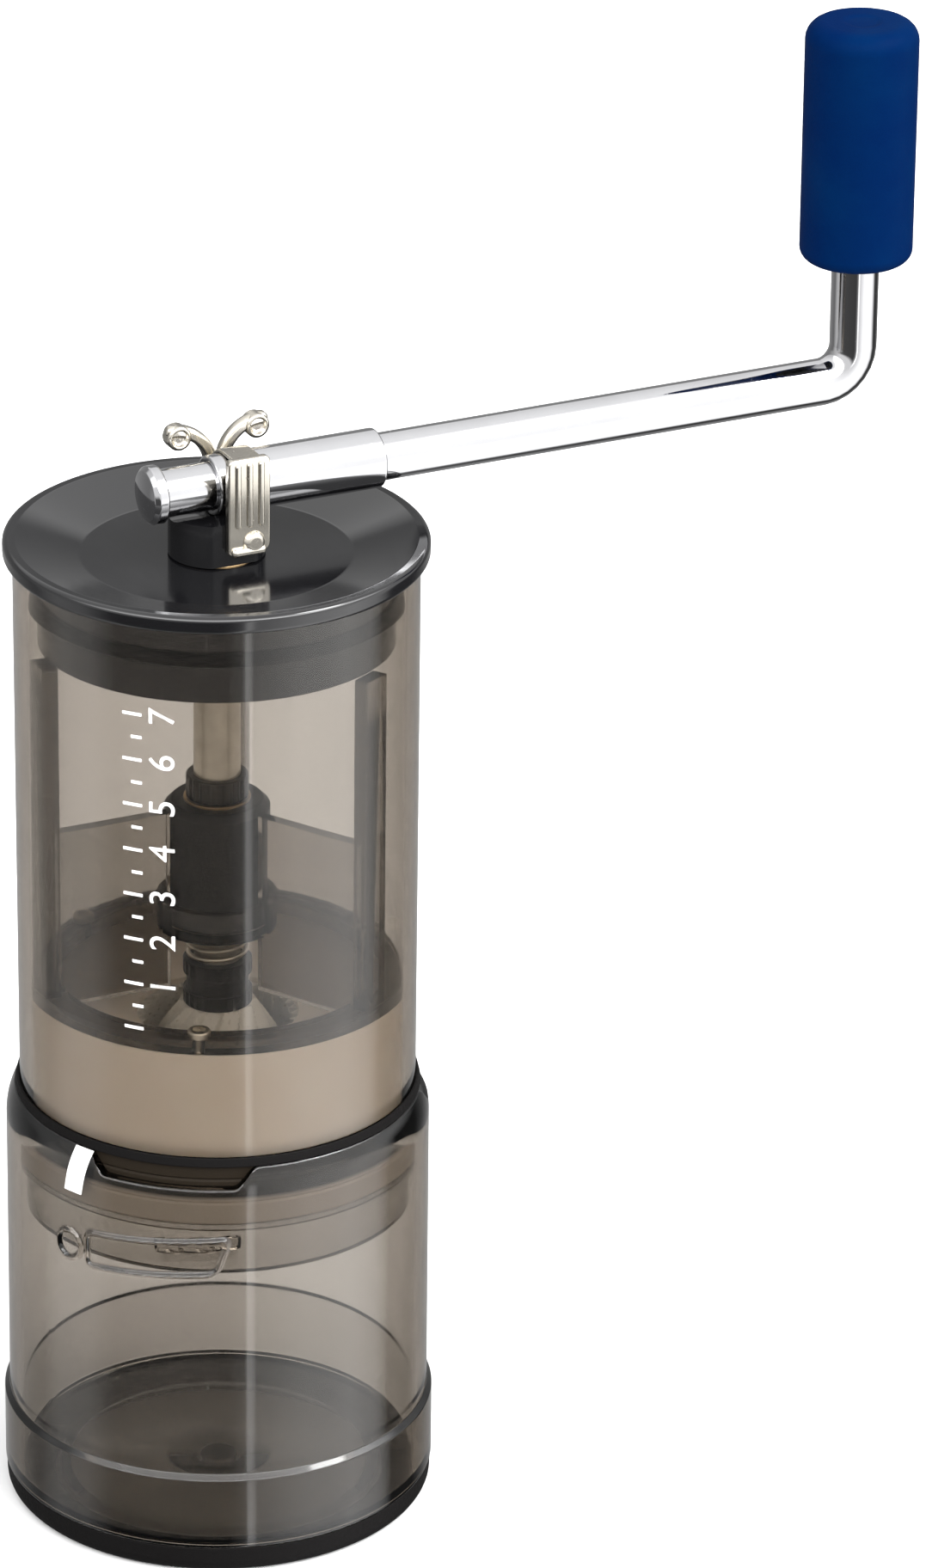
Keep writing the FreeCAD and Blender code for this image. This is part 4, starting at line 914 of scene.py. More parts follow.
def makeHousing():
    look = burrLook
    outer, low, high = sizesOf("burr_housing")
    ringOuter, ringTop = radiusOf("ring_burr"), topOf("ring_burr")
    throat = look["mouth"] + look["throatStep"]
    lathe("burrHousing", "hopper", "cream_plastic", "burr_housing", [
        (outer, low, 0.3), (outer, high, 0.4), (outer - look["housingRim"], high, 0.5),
        (throat, ringTop + look["throatHeight"], 0.3), (throat, ringTop), (ringOuter, ringTop),
        (ringOuter, low, 0.3)], 180)

    def ringTooth(radius, height, angle):
        share = (height - low) / (ringTop - low)
        depth = look["ringToothDepth"] * (1 + share) if radius < ringOuter - 1 else 0
        return radius + depth * tooth(angle, look["ringTeeth"], look["ringTwist"], share), height

    lathe("ringBurr", "hopper", "burr_ceramic", "ring_burr", [
        (ringOuter, low), (ringOuter, ringTop),
        *stepped((look["mouth"], ringTop), (look["footRadius"], low), look["ringRings"])],
        360, shape=ringTooth, crease=25)
    outer, low, high = sizesOf("clamp_ring")
    inner = look["footRadius"] + look["clampStep"]
    lathe("clampRing", "hopper", "cream_plastic", "clamp_ring",
          tube(inner, outer, low, high, 0.3, 0.3, 0, 0), 144)


screwLook = {"head": 1.9, "headHeight": 1.2, "shank": 1.0, "socket": 1.15, "socketDepth": 0.7, "length": 6.9}


def screwMesh(centre, seat, upward):
    # A pan head screw with a hexagon socket, its head's underside at the seat
    head, shank, socket = screwLook["head"], screwLook["shank"], screwLook["socket"]
    high, length = screwLook["headHeight"], screwLook["length"]
    floor = high - screwLook["socketDepth"]

    def socketed(radius, height, angle):
        return (radius * hexShare(angle) if near(radius, socket) else radius), height

    mesh = turn("screw", rounded([
        (0, floor), (socket, floor), (socket, high), (head, high, 0.45), (head, 0), (shank, 0),
        (shank, -length, 0.2), (0, -length)], closed=False), 36, socketed)
    flip = Matrix.Identity(4) if upward else Matrix.Rotation(math.pi, 4, "X")
    mesh.transform(Matrix.Translation((*centre, seat)) @ flip)
    return mesh


def makeScrews():
    for node, name, upward in (("clamp_screws", "clampScrews", False),
                               ("bridge_screws", "bridgeScrews", True)):
        low, high = boxOf(node)
        seat = high.z - screwLook["headHeight"] if upward else low.z + screwLook["headHeight"]
        places = [circled(angle, high.x - screwLook["head"]) for angle in evenTurns(3)]
        finishPiece(together(name, [screwMesh(place, seat, upward) for place in places]),
                    "hopper", "shaft_steel", [node])


# Bearing sleeve, bushes and washer in the bridge

sleeveLook = {"chamfer": 1.2, "bushLength": 7.0, "washerGap": 0.25}


def makeSleeve():
    outer, low, high = sizesOf("bearing_sleeve")
    bush, bore, chamfer = radiusOf("lower_bush"), shaftLook["radius"] + runningGap, sleeveLook["chamfer"]
    length = sleeveLook["bushLength"]
    lathe("bearingSleeve", "hopper", "black_matte", "bearing_sleeve", [
        (bush, low), (outer, low, 0.4), (outer, high - chamfer, 0.35), (outer - chamfer, high, 0.3),
        (bush, high)])
    flange, flangeTop = radiusOf("upper_bush"), topOf("upper_bush")
    lathe("upperBush", "hopper", "bush_bronze", "upper_bush", [
        (bore, high - length), (bush, high - length), (bush, high), (flange, high), (flange, flangeTop, 0.12),
        (bore, flangeTop, 0.12)], 72)
    lathe("lowerBush", "hopper", "bush_bronze", "lower_bush",
          tube(bore, bush, low, low + length, 0.12, 0, 0, 0), 72)
    washer, low, high = sizesOf("thrust_washer")
    hole = bore + sleeveLook["washerGap"]
    lathe("thrustWasher", "hopper", "shaft_steel", "thrust_washer",
          tube(hole, washer, low, high, 0.1, 0.2, 0, 0), 72)


# Drive shaft, its collar, the driver, the inner burr, the spring and the nut

shaftLook = {"radius": 3.9, "threadPitch": 0.7, "threadDepth": 0.35, "topFlats": 6.5, "burrFlats": 6.0,
             "threadRadius": 2.6, "threadTop": 71.0, "shoulder": 90.2, "hexStart": 163.5,
             "threadRings": 110, "chamfer": 0.5, "knurls": 20, "knurlDepth": 0.3}
burrCorner, topCorner = shaftLook["burrFlats"] / math.sqrt(3), shaftLook["topFlats"] / math.sqrt(3)


def makeShaft():
    look = shaftLook
    low, high = bottomOf("drive_shaft"), topOf("drive_shaft")
    radius, thread, chamfer = look["radius"], look["threadRadius"], look["chamfer"]
    threadTop, shoulder, hexStart = look["threadTop"], look["shoulder"], look["hexStart"]

    def cutShape(across, height, angle):
        if near(across, thread):
            phase = (height / look["threadPitch"] - angle / fullTurn) % 1
            return across - look["threadDepth"] * abs(1 - 2 * phase), height
        isHexagon = any(near(across, corner) for corner in (burrCorner, topCorner, topCorner - chamfer))
        return (across * hexShare(angle) if isHexagon else across), height

    lathe("driveShaft", "shaft", "shaft_steel", "drive_shaft", [
        (0, low), (thread - chamfer, low),
        *stepped((thread, low + 0.3), (thread, threadTop), look["threadRings"]),
        (burrCorner, threadTop), (burrCorner, shoulder), (radius, shoulder), (radius, hexStart - 0.3),
        (radius - 0.1, hexStart), (topCorner, hexStart), (topCorner, high - chamfer),
        (topCorner - chamfer, high), (0, high)], shape=cutShape, crease=30)
    outer, low, high = sizesOf("shaft_collar")
    lathe("shaftCollar", "shaft", "shaft_steel", "shaft_collar",
          tube(radius, outer, low, high, 0, 0.25, 0.35, 0), 180,
          shape=knurled(outer, look["knurls"], look["knurlDepth"]), material=patchy("blackenedSteel"))


driverLook = {"waistDepth": 0.6, "waistHeight": 3.0, "knurls": 24, "knurlDepth": 0.12}


def makeBurr():
    look = burrLook
    foot, low, high = sizesOf("inner_burr")
    corner = burrCorner + runningGap

    def burrTooth(radius, height, angle):
        share = (height - low) / (high - low)
        if near(radius, corner):
            return radius * hexShare(angle), height
        if height <= low + 0.3:
            return radius, height
        coarse = look["coneToothDepth"] * smooth(share * 2.2)
        fine = look["fineToothDepth"] * smooth(1.4 - share * 2.2)
        depth = coarse * tooth(-angle, look["coneTeeth"], look["coneTwist"], share)
        depth += fine * tooth(-angle, look["fineTeeth"], look["fineTwist"], share)
        return radius - depth, height

    lathe("innerBurr", "burr", "burr_ceramic", "inner_burr", [
        (corner, low), (foot - 0.3, low), (foot, low + 0.2),
        *stepped((foot, low + look["band"]), (look["coneNeck"], high), look["coneRings"]), (corner, high)],
        432, shape=burrTooth, crease=25)

    outer, low, high = sizesOf("burr_driver")
    bore, waist = shaftLook["radius"] + runningGap, outer - driverLook["waistDepth"]
    waistLow, waistHigh = ((low + high + side * driverLook["waistHeight"]) / 2 for side in (-1, 1))
    lathe("burrDriver", "burr", "black_matte", "burr_driver", [
        (bore, low), (outer, low, 0.25), (outer, waistLow, 0.2), (waist, waistLow, 0.15),
        (waist, waistHigh, 0.15), (outer, waistHigh, 0.2), (outer, high, 0.3), (bore, high),
    ], 192, shape=knurled(outer, driverLook["knurls"], driverLook["knurlDepth"]))


springLook = {"wire": 0.4, "turns": 3.5, "easeTurns": 0.25, "pointsPerTurn": 48, "sides": 6}


def makeSpring():
    outer, low, high = sizesOf("burr_spring")
    wire, turns, ease = springLook["wire"], springLook["turns"], springLook["easeTurns"]
    pitch = (high - low - 2 * wire) / (turns - ease)
    curve = bpy.data.curves.new("springWire", "CURVE")
    curve.dimensions = "3D"
    curve.bevel_depth = wire
    curve.bevel_resolution = springLook["sides"]
    curve.use_fill_caps = True
    line = curve.splines.new("POLY")
    places = shares(round(turns * springLook["pointsPerTurn"]))
    line.points.add(len(places) - 1)
    for point, share in zip(line.points, places):
        done = turns * share
        if done < ease:
            climb = done ** 2 / (2 * ease)
        elif done > turns - ease:
            climb = turns - ease - (turns - done) ** 2 / (2 * ease)
        else:
            climb = done - ease / 2
        point.co = (*circled(fullTurn * done, outer - wire, low + wire + pitch * climb), 1)
    finishPiece(settled("burrSpring", placedObject(curve)), "burr", "shaft_steel", ["burr_spring"])


nutLook = {"lobes": 6, "scallop": 1.5, "scallopWidth": 0.3125, "ribs": 96, "ribDepth": 0.1}


def makeNut():
    low, high, outer = bottomOf("adjust_nut"), topOf("adjust_nut"), boxOf("adjust_nut")[1].y
    bore = shaftLook["threadRadius"] + runningGap

    def scalloped(radius, height, angle):
        if radius < outer - 2:
            return radius, height
        within = abs(fromMiddle(angle, nutLook["lobes"]))
        dip = nutLook["scallop"] * smooth(1 - within / nutLook["scallopWidth"])
        return radius - dip - ripple(angle, nutLook["ribs"], nutLook["ribDepth"]), height

    lathe("adjustNut", "nut", "black_matte", "adjust_nut", tube(bore, outer, low, high, 0.3, 0.6, 0.4, 0.2),
          480, shape=scalloped)


# Lid with its dished top, seal and bush

lidLook = {"edge": 0.9, "rim": 2.0, "slope": 10.6, "dish": 3.0, "floor": 2.2, "skirtGap": 1.6, "skirt": 2.0,
           "grooveDepth": 1.0, "sealWire": 1.2, "bushFlange": 1.4, "bushWall": 1.5}


def makeLid():
    look = lidLook
    outer, low, high = sizesOf("lid")
    seat, edge = topOf("hopper_shell"), look["edge"]
    skirt = radiusOf("hopper_shell") - hopperLook["flare"] - hopperLook["wall"] - look["skirtGap"]
    flange, bushLow, bushHigh = sizesOf("lid_bush")
    bush = flange - look["bushFlange"]
    dishFloor = high - look["dish"]
    under = dishFloor - look["floor"]
    rim, skirtBore, groove = outer - look["rim"], skirt - look["skirt"], skirt - look["grooveDepth"]
    sealHeight, wire = middleOf("lid_seal").z, look["sealWire"]
    grooveLow, grooveHigh = sealHeight - wire - runningGap, sealHeight + wire + runningGap
    lathe("lidShell", "lid", "black_gloss", "lid", [
        (bush, dishFloor), (bush, under), (skirtBore, under, 1.2), (skirtBore, low, 0.5), (skirt, low, 0.5),
        (skirt, grooveLow, 0.1), (groove, grooveLow), (groove, grooveHigh), (skirt, grooveHigh, 0.1),
        (skirt, seat), (outer, seat, edge), (outer, high, edge), (rim, high, 0.7),
        (rim - look["slope"], dishFloor, 1.6)], 216)
    section = [circled(angle, wire, centre=(groove + wire, sealHeight)) for angle in evenTurns(24)]
    finishPiece(turn("lidSeal", section, 180), "lid", "black_rubber", ["lid_seal"])
    pin = bush - look["bushWall"] + runningGap
    lathe("lidBush", "lid", "bush_bronze", "lid_bush", [
        (pin, bushLow, 0.15), (flange, bushLow, 0.3), (flange, under), (bush, under), (bush, bushHigh, 0.15),
        (pin, bushHigh)])


# Crank hub with its saddle, lug and clip

hubLook = {"radius": 8.0, "neck": 5.5, "height": 4.6, "edge": 0.35, "lugWidth": 6.0, "lugDrop": 1.4,
           "lugFall": 2.9, "socketGap": 0.06, "socketRoof": 1.0, "clipBite": 0.65,
           "clipGap": math.radians(70)}
armHeight = middleOf("arm_sleeve").z
sleeveRadius = (topOf("arm_sleeve") - bottomOf("arm_sleeve")) / 2
saddle = sleeveRadius + runningGap
screwPlace = middleOf("wing_washer")
hubFlat = -boxOf("crank_hub")[0].y
far = 20  # beyond every side of the hub


def makeHub():
    look = hubLook
    low, drumLow = bottomOf("crank_hub"), topOf("lid_bush") + runningGap
    lugLow, half = topOf("lid") - look["lugDrop"], look["lugWidth"] / 2
    left, right, back = screwPlace.x - half, screwPlace.x + half, screwPlace.y + half
    lugCorners = [(left, 0), (right, 0), (right, back, half * 0.98), (left, back, half * 0.98)]
    lug = plate("lug", lugCorners, armHeight - look["lugFall"] - lugLow, 0.02,
                Matrix.Translation((0, 0, lugLow)))
    flatCut = plate("flat", oblong(-far, far, -far, -hubFlat), 2 * far, 0.02,
                    Matrix.Translation((0, 0, low - 5)))
    socket = cylinder(topCorner + look["socketGap"], low - 1, armHeight - saddle - look["socketRoof"], 6)
    finishPiece(carved("crankHub", cylinder(look["radius"], drumLow, topOf("lid") + look["height"]), [
        ("UNION", cylinder(look["neck"], low, drumLow + 1)),
        ("UNION", lug),
        ("DIFFERENCE", lying(cylinder(saddle, -far, far), armHeight)),
        ("DIFFERENCE", flatCut),
        ("DIFFERENCE", socket),
    ], look["edge"]), "crank", "black_gloss", ["crank_hub"], crease=30)

    outer, low, high = sizesOf("hub_clip")
    start, end = look["clipGap"] / 2, fullTurn - look["clipGap"] / 2
    corners = arc(outer, start, end, 40) + arc(look["neck"] - look["clipBite"], end, start, 40)
    finishPiece(plate("hubClip", corners, high - low, 0.1, Matrix.Translation((0, 0, low))),
                "crank", "shaft_steel", ["hub_clip"])


# Arm sleeve, rod with its elbow, end stop

armLook = {"sleeveWall": 1.0, "sleeveEdge": 0.45, "stopEdge": 0.8, "stopDome": 0.5, "elbow": 6.0,
           "spindleStep": 1.0, "pin": 2.5, "sides": 64}
rodRadius = sleeveRadius - armLook["sleeveWall"]
spindleRadius = rodRadius - armLook["spindleStep"]


def makeArm():
    look = armLook
    low, high = boxOf("arm_sleeve")
    bore, edge = rodRadius + runningGap, look["sleeveEdge"]
    lathe("armSleeve", "crank", "arm_chrome", "arm_sleeve",
          tube(bore, sleeveRadius, low.x, high.x, 0.1, edge, edge, 0.1), along=armHeight)

    rodLow, rodHigh = boxOf("arm_rod")
    stopLow, stopHigh = boxOf("end_stop")
    knobX, shoulder = middleOf("knob_grip").x, bottomOf("knob_grip") + 0.5
    path = rounded([(stopHigh.x, armHeight), (knobX, armHeight, look["elbow"]), (knobX, shoulder)],
                   closed=False)
    # local y and z of the bar become z and y
    upright = Matrix(((1, 0, 0, 0), (0, 0, 1, 0), (0, 1, 0, 0), (0, 0, 0, 1)))
    bar = sweep("bar", path, [circled(angle, rodRadius) for angle in evenTurns(look["sides"])], upright)
    spindle = turn("spindle", rounded([
        (0, shoulder - 1), (spindleRadius, shoulder - 1), (spindleRadius, rodHigh.z, 0.3), (0, rodHigh.z),
    ], closed=False), 48, centre=(knobX, 0))
    pin = lying(turn("pin", rounded([
        (0, rodLow.x), (look["pin"], rodLow.x, 0.2), (look["pin"], stopHigh.x + 0.5), (0, stopHigh.x + 0.5),
    ], closed=False), 48), armHeight)
    finishPiece(together("armRod", [bar, spindle, pin]), "rod", "arm_chrome", ["arm_rod"])

    stop = (stopHigh.z - stopLow.z) / 2
    face, hole, rim = stop - look["stopEdge"], look["pin"] + 0.01, stopLow.x + look["stopDome"]
    dome = [(face * share, stopLow.x + look["stopDome"] * share ** 2) for share in shares(8)[:-1]]
    lathe("endStop", "rod", "arm_chrome", "end_stop", [
        *dome, (face + 0.1, rim, 0.3), (stop, rim + 0.7, 0.4), (stop, stopHigh.x, 0.5), (hole, stopHigh.x),
        (hole, rodLow.x - 0.01), (0, rodLow.x - 0.01)], closed=False, along=armHeight)


# Clamp strap with its ribbed plate, rivet, washer and wing screw

clampLook = {
    "strap": 0.6, "strapWidth": 5.0, "strapRise": 0.6,
    "plate": 1.5, "plateEdge": 0.3, "plateWidth": 7.4, "bigCorner": 1.8, "smallCorner": 0.9,
    "ribs": 3, "ribWidth": 1.05, "ribSpacing": 2.05, "ribDepth": 0.45, "ribFoot": 4.8, "ribHead": 0.7,
    "lipHeight": 1.5, "lip": 1.5, "lipEdge": 0.7,
    "sunk": 0.6,  # how deep the ribs and the lip reach into the plate
    "stem": 1.5, "boss": 2.0, "bossHeight": 2.6,
    "wing": 2.2, "wingEdge": 0.7, "wingRoot": math.radians(10), "wingRise": 8.1, "wingGap": 0.3,
    "ear": 2.1, "earThickness": 3.0, "earDish": 0.7, "earRim": 0.72, "earFloor": 0.5,
}


def makeClamp():
    look = clampLook
    low, high = boxOf("clamp_strap")
    left, right = low.x, low.x + look["plateWidth"]
    big, small, half = look["bigCorner"], look["smallCorner"], look["ribWidth"] / 2
    # local x, y and z of a plate become x, z and -y
    standing = Matrix(((1, 0, 0, 0), (0, 0, -1, -hubFlat), (0, 1, 0, 0), (0, 0, 0, 1)))
    onPlate = standing @ Matrix.Translation((0, 0, look["plate"] - look["sunk"]))
    pieces = [plate("plate", [
        (left, low.z, small), (right, low.z, big), (right, high.z, small), (left, high.z, small),
    ], look["plate"], look["plateEdge"], standing)]
    for index in range(look["ribs"]):
        x = (left + right) / 2 + (index - (look["ribs"] - 1) / 2) * look["ribSpacing"]
        rib = oblong(x - half, x + half, low.z + look["ribFoot"], high.z - look["ribHead"], half * 0.95)
        pieces.append(plate("rib", rib, look["ribDepth"] + look["sunk"], 0.4, onPlate))
    lip = oblong(left + 0.4, right - 0.9, low.z, low.z + look["lipHeight"], look["lipEdge"])
    pieces.append(plate("lip", lip, look["lip"], look["lipEdge"], onPlate))
    half = look["strap"] / 2
    over, foot = saddle + half, armHeight - hubLook["lugFall"] + look["strapRise"] + half
    path = rounded([(-hubFlat - 0.3, armHeight + over), (over, armHeight + over, over), (over, foot, 0.5),
                    (high.y, foot)], closed=False)
    section = rounded(oblong(-look["strapWidth"] / 2, look["strapWidth"] / 2, -half, half, 0.2))
    across = Matrix(((0, 0, 1, screwPlace.x), (1, 0, 0, 0), (0, 1, 0, 0), (0, 0, 0, 1)))
    pieces.append(sweep("band", path, section, across))
    finishPiece(together("clampStrap", pieces), "crank", "clamp_nickel", ["clamp_strap"])

    head, middle = radiusOf("strap_rivet"), middleOf("strap_rivet")
    front, back = (corner.y for corner in boxOf("strap_rivet"))
    shank, seat = head - 0.8, -hubFlat - look["plate"]
    rivet = turn("rivet", rounded([
        (0, front), (head * 0.7, front, 0.9), (head, seat, 0.1), (shank, seat), (shank, back), (0, back),
    ], closed=False), 48)
    rivet.transform(Matrix.Translation((middle.x, 0, middle.z)) @ Matrix.Rotation(-quarter, 4, "X"))
    finishPiece(rivet, "crank", "clamp_nickel", ["strap_rivet"])


def makeWingScrew():
    look = clampLook
    washer, washerLow, seat = sizesOf("wing_washer")
    low, stem, boss, bossTop = bottomOf("wing_screw"), look["stem"], look["boss"], seat + look["bossHeight"]
    hole, lugY, place = stem + runningGap, screwPlace.y, screwPlace.xy
    lathe("wingWasher", "wing_lifter", "clamp_nickel", "wing_washer",
          tube(hole, washer, washerLow, seat, 0, 0.12, 0.15, 0), 48, centre=place)
    pieces = [turn("stem", rounded([
        (0, low), (stem, low, 0.3), (stem, seat), (boss, seat, 0.2), (boss, bossTop, 0.6), (0, bossTop),
    ], closed=False), 48, centre=place)]
    inner, outer = saddle + look["strap"] + look["wingGap"], look["wingRise"]
    tip, ear, deep = (outer - inner) / 2, look["ear"], look["earThickness"] / 2
    dish, rim, floor = deep - look["earDish"], ear * look["earRim"], ear * look["earFloor"]
    outline = [(0, 0), *arc(inner, math.pi, quarter, 14, (lugY, 0)),
               *arc(tip, -quarter, quarter, 14, (lugY, (inner + outer) / 2))[1:-1],
               *arc(outer, quarter, math.pi - look["wingRoot"], 14, (lugY, 0))]
    facing = Matrix(((1, 0, 0, 0), (0, 0, -1, lugY + look["wing"] / 2), (0, 1, 0, 0), (0, 0, 0, 1)))
    for side in (1, -1):
        corners = [(side * x + screwPlace.x, y + armHeight) for x, y in outline]
        pieces.append(plate("wing", corners, look["wing"], look["wingEdge"], facing))
        disc = turn("ear", rounded([
            (0, dish), (floor, dish, 0.5), (rim, deep, 0.2), (ear, deep, 0.5),
            (ear, -deep, 0.5), (rim, -deep, 0.2), (floor, -dish, 0.5), (0, -dish),
        ], closed=False), 40)
        centre = (screwPlace.x + side * (lugY + tip - ear), lugY, armHeight + outer - ear)
        disc.transform(Matrix.Translation(centre) @ Matrix.Rotation(quarter, 4, "X"))
        pieces.append(disc)
    finishPiece(together("wingScrew", pieces), "wing", "clamp_nickel", ["wing_screw"])


# Knob: core, soft grip, washer and screw

knobLook = {"wall": 2.5, "end": 3.0, "foot": 2.2, "top": 3.2, "dimple": 0.25, "dimpleRim": 3.4,
            "dimpleFloor": 2.4, "washerGap": 0.4, "screwHead": 3.0, "screwShank": 1.5, "socket": 1.2,
            "socketDepth": 0.9}


def makeKnob():
    look = knobLook
    radius, low, high = sizesOf("knob_grip")
    centre = (middleOf("knob_grip").x, 0)
    inner, dimple, end = radius - look["wall"], high - look["dimple"], high - look["end"]
    lathe("knobGrip", "knob", "blue_grip", "knob_grip", [
        (inner, low, 0.3), (radius, low, look["foot"]), (radius, high, look["top"]),
        (look["dimpleRim"], high, 2.5), (look["dimpleFloor"], dimple, 2.0), (0, dimple), (0, end),
        (inner, end),
    ], 128, closed=False, centre=centre)
    washer, washerLow, washerHigh = sizesOf("knob_washer")
    core, low, high = sizesOf("knob_core")
    spindle, well, floor = spindleRadius + runningGap, washer + look["washerGap"], washerLow - 0.2
    lathe("knobCore", "knob", "black_matte", "knob_core", [
        (spindle, low, 0.2), (core, low, 0.3), (core, high), (well, high), (well, floor), (spindle, floor),
    ], centre=centre)
    shank, head, socket = look["screwShank"], look["screwHead"], look["socket"]
    lathe("knobWasher", "rod", "shaft_steel", "knob_washer",
          tube(shank, washer, washerLow, washerHigh, 0, 0.1, 0.2, 0), 64, centre=centre)
    low, high = bottomOf("knob_screw"), topOf("knob_screw")
    floor = high - look["socketDepth"]
    lathe("knobScrew", "rod", "shaft_steel", "knob_screw", [
        (0, low), (shank, low, 0.3), (shank, washerHigh), (head, washerHigh), (head, high, 0.7),
        (socket, high), (socket, floor), (0, floor)], 48, closed=False, centre=centre)


# Bearing bridge: the frame's own mesh with its seams closed

def makeBridge():
    mesh = frame["nodes"]["shaft_bridge"].data.copy()
    mesh.name = "shaftBridge"
    mesh.transform(Matrix.Scale(1 / millimetre, 4))
    solid = bmesh.new()
    solid.from_mesh(mesh)
    bmesh.ops.remove_doubles(solid, verts=solid.verts, dist=nearly)
    bmesh.ops.dissolve_limit(solid, angle_limit=math.radians(1), verts=solid.verts, edges=solid.edges)
    solid.to_mesh(mesh)
    solid.free()
    finishPiece(mesh, "hopper", "smoke_brown_plastic", ["shaft_bridge"],
                material=smokePlastic("smokeBridge", 1.5), crease=30)


for stage in (makeFeet, makeCup, makeSealRing, makeHopper, makePrint, makeHousing, makeScrews, makeSleeve,
              makeShaft, makeBurr, makeSpring, makeNut, makeLid, makeHub, makeArm, makeClamp, makeWingScrew,
              makeKnob, makeBridge):
    stage()
    print(stage.__name__, "done")

for entry in frame["record"]["subparts"]:
    node = frame["nodes"][entry["node"]]
    node.data.materials.clear()
    node.data.materials.append(finishes[entry["material_slot"]])


# Floor, studio light and camera

studioLook = {
    "floorSize": 24.0,
    "floor": (0.56, 0.56, 0.56),
    "fibre": (300, 4, 0.6),
    "fibreShade": 0.985,
    "backdropHeight": 6.0,
    "backdrop": 1.6,
    "strength": 1.65,
    "overhead": 1.12,
    "under": 0.5,
    # brightness round the room at angles seen from the camera, 0 towards it and 90 on its right: eye level,
    "walls": ((-180, 0.24), (-130, 0.24), (-95, 0.5), (-60, 0.9), (15, 0.9), (60, 1.6), (90, 1.4), (115, 0.8),
              (140, 0.26), (180, 0.24)),
    # higher up, where the soft boxes are,
    "boxes": ((-180, 0.9), (-130, 0.7), (-95, 0.8), (-60, 4.4), (-20, 6.2), (8, 6.6), (28, 8.2), (60, 8.2),
              (90, 5.4), (115, 1.0), (140, 0.7), (180, 0.9)),
    # and what vertical faces mirror, below the horizon
    "low": ((-180, 0.3), (-112, 0.18), (-94, 0.6), (-76, 0.6), (-58, 0.08), (6, 0.06), (15, 0.4), (17, 2.4),
            (19, 2.1), (21, 0.9), (28, 1.05), (50, 1.7), (78, 1.9), (96, 1.1), (108, 0.06), (130, 0.04),
            (150, 0.2), (180, 0.3)),
    # sines of the heights over which one passes into the next
    "underToLow": (-0.99, -0.9), "lowToWalls": (-0.08, 0.08), "wallsToBoxes": (0.42, 0.5),
    "boxesToOverhead": (0.6, 0.92),
    "lampTurn": math.radians(77),
    "lampRise": math.radians(52),
    "lampHalf": math.radians(11),
    "lamp": 16.0,
}


def grey(level):
    return (level,) * 3


def makeFloor():
    half, colour = studioLook["floorSize"] / 2, studioLook["floor"]
    shade = shaded(studioLook["fibreShade"], colour)
    mesh = newMesh("floor", [(x, y, 0) for x, y in oblong(-half, half, -half, half)], [(0, 1, 2, 3)])
    finish = newFinish("palePaper")
    fibre = finish.span(finish.noise(*studioLook["fibre"]), 0.3, 0.7, 0, 1)
    mesh.materials.append(finish.surface({
        "Base Color": finish.blend(fibre, colour, shade), "Roughness": 0.9, "Specular IOR Level": 0.1,
    }))
    floor = placedObject(mesh)
    floor.visible_glossy = False  # polished faces mirror the room's low walls in its place


def makeBackdrop():
    # A white wall round the far edge of the floor, which lights nothing, so that low views show no horizon
    radius, heights = studioLook["floorSize"] / 2 - 1, (0, studioLook["backdropHeight"])
    rings = [[circled(angle, radius, height) for angle in evenTurns(96)] for height in heights]
    mesh = skin("backdrop", rings, loop=False)
    mesh.materials.append(newFinish("whiteCloth").surface({
        "Base Color": (0, 0, 0, 1), "Specular IOR Level": 0.0, "Emission Color": (1, 1, 1, 1),
        "Emission Strength": studioLook["backdrop"],
    }))
    mesh.materials[0].cycles.emission_sampling = "NONE"
    wall = placedObject(mesh)
    wall.visible_diffuse = wall.visible_glossy = wall.visible_shadow = False


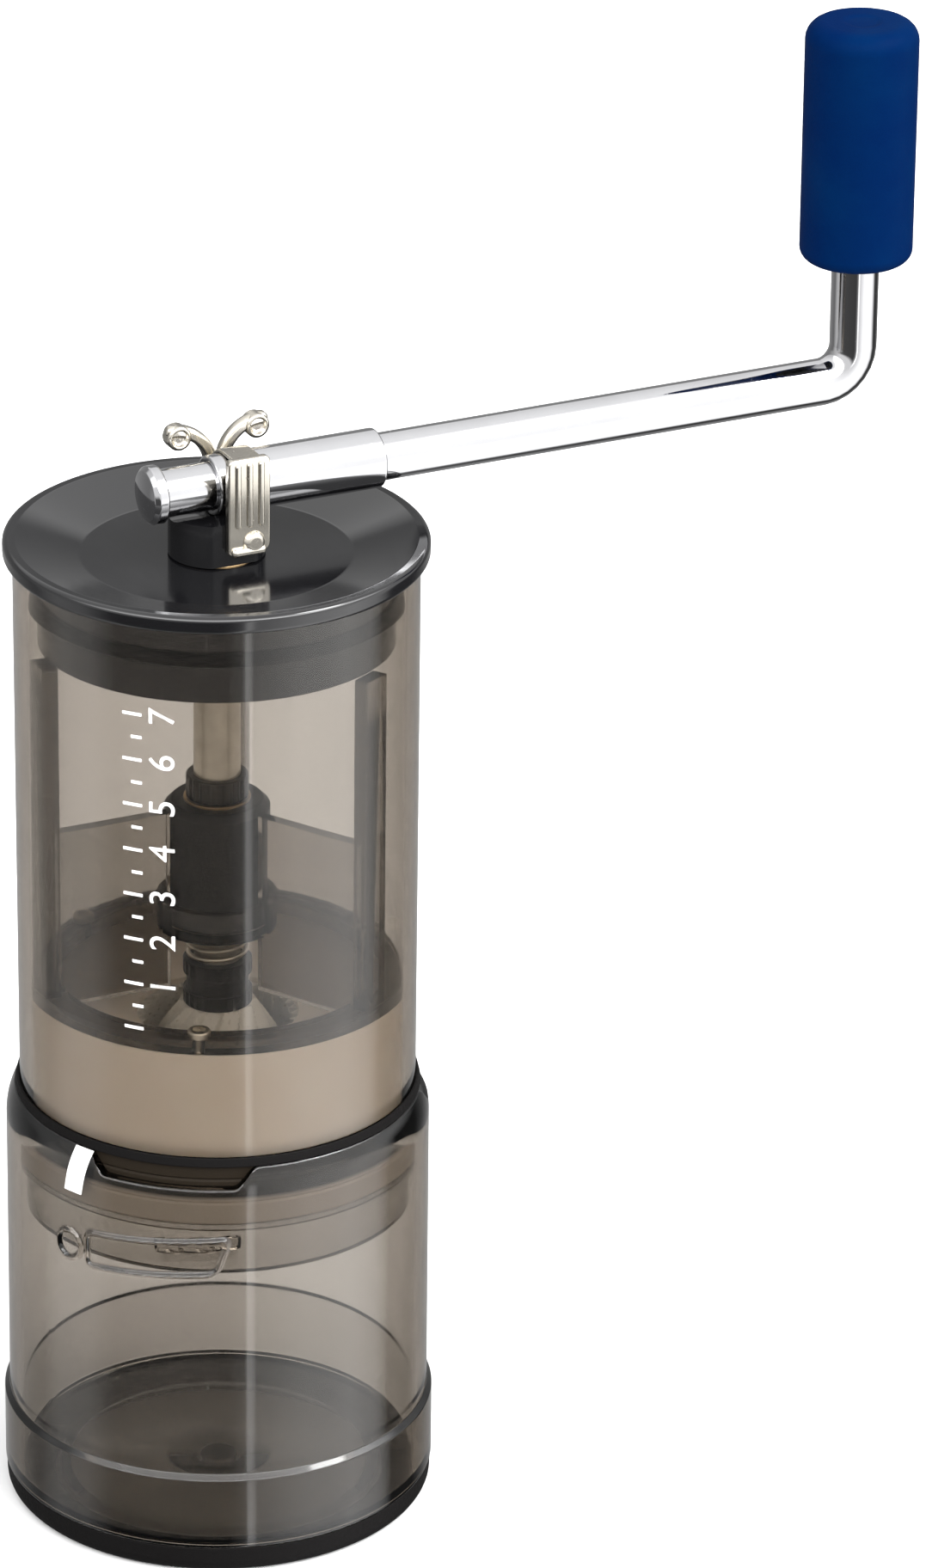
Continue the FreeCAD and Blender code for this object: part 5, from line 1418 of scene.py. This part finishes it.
def makeStudio():
    # A soft box overhead, soft walls that are bright on the right, and dark flags that draw the edges
    look = studioLook
    scene.world = bpy.data.worlds.new("studio")
    finish = Finish(scene.world)
    facing = finish.node("ShaderNodeMapping", {}, {
        "Vector": finish.node("ShaderNodeTexCoord")["Generated"], "Rotation": (0, 0, cameraTurn)})["Vector"]
    parts = finish.split(facing)
    angle = finish.node("ShaderNodeMath", {"operation": "ARCTAN2"}, {0: parts["Y"], 1: parts["X"]})["Value"]
    around = finish.span(angle, -math.pi, math.pi, 0, 1)

    def ring(name):
        stops = [((degrees + 180) / 360, grey(level)) for degrees, level in look[name]]
        return finish.node("ShaderNodeValToRGB", {"stops": stops}, {"Fac": around})["Color"]

    def passing(heights, lower, upper):
        return finish.blend(finish.span(parts["Z"], *look[heights], 0, 1), lower, upper)

    lower = passing("underToLow", grey(look["under"]), ring("low"))
    walls = passing("wallsToBoxes", ring("walls"), ring("boxes"))
    room = passing("lowToWalls", lower, passing("boxesToOverhead", walls, grey(look["overhead"])))
    lampPlace = circled(look["lampTurn"], math.cos(look["lampRise"]), math.sin(look["lampRise"]))
    nearLamp = finish.node("ShaderNodeVectorMath", {"operation": "DOT_PRODUCT"},
                           {0: facing, 1: lampPlace})["Value"]
    inner, outer = math.cos(0.8 * look["lampHalf"]), math.cos(look["lampHalf"])
    colour = finish.blend(finish.span(nearLamp, outer, inner, 0, 1), room, grey(look["lamp"]))
    background = finish.node("ShaderNodeBackground", {}, {"Color": colour, "Strength": look["strength"]})
    finish.node("ShaderNodeOutputWorld", {}, {"Surface": background["Background"]})


cameraLook = {
    "distance": 1.2735,
    "aside": 0.00674,
    "height": 0.7012,
    "heading": math.radians(-24.4),
    "pitch": math.radians(24.2),
    "yaw": math.radians(-1.39),
    "lens": 193.95,
    "sensor": 36.0,
}


def makeCamera():
    data = bpy.data.cameras.new("camera")
    data.lens = cameraLook["lens"]
    data.sensor_width = cameraLook["sensor"]
    camera = placedObject(data)
    heading = Matrix.Rotation(cameraLook["heading"], 4, "Z")
    place = heading @ Vector((cameraLook["aside"], -cameraLook["distance"], cameraLook["height"]))
    tilt = Matrix.Rotation(quarter - cameraLook["pitch"], 4, "X")
    yaw = Matrix.Rotation(cameraLook["yaw"], 4, "Y")
    camera.matrix_world = Matrix.Translation(place) @ heading @ tilt @ yaw
    scene.camera = camera


makeFloor()
makeBackdrop()
makeStudio()
makeCamera()
scene.view_settings.view_transform = "Standard"
print("studio ready")
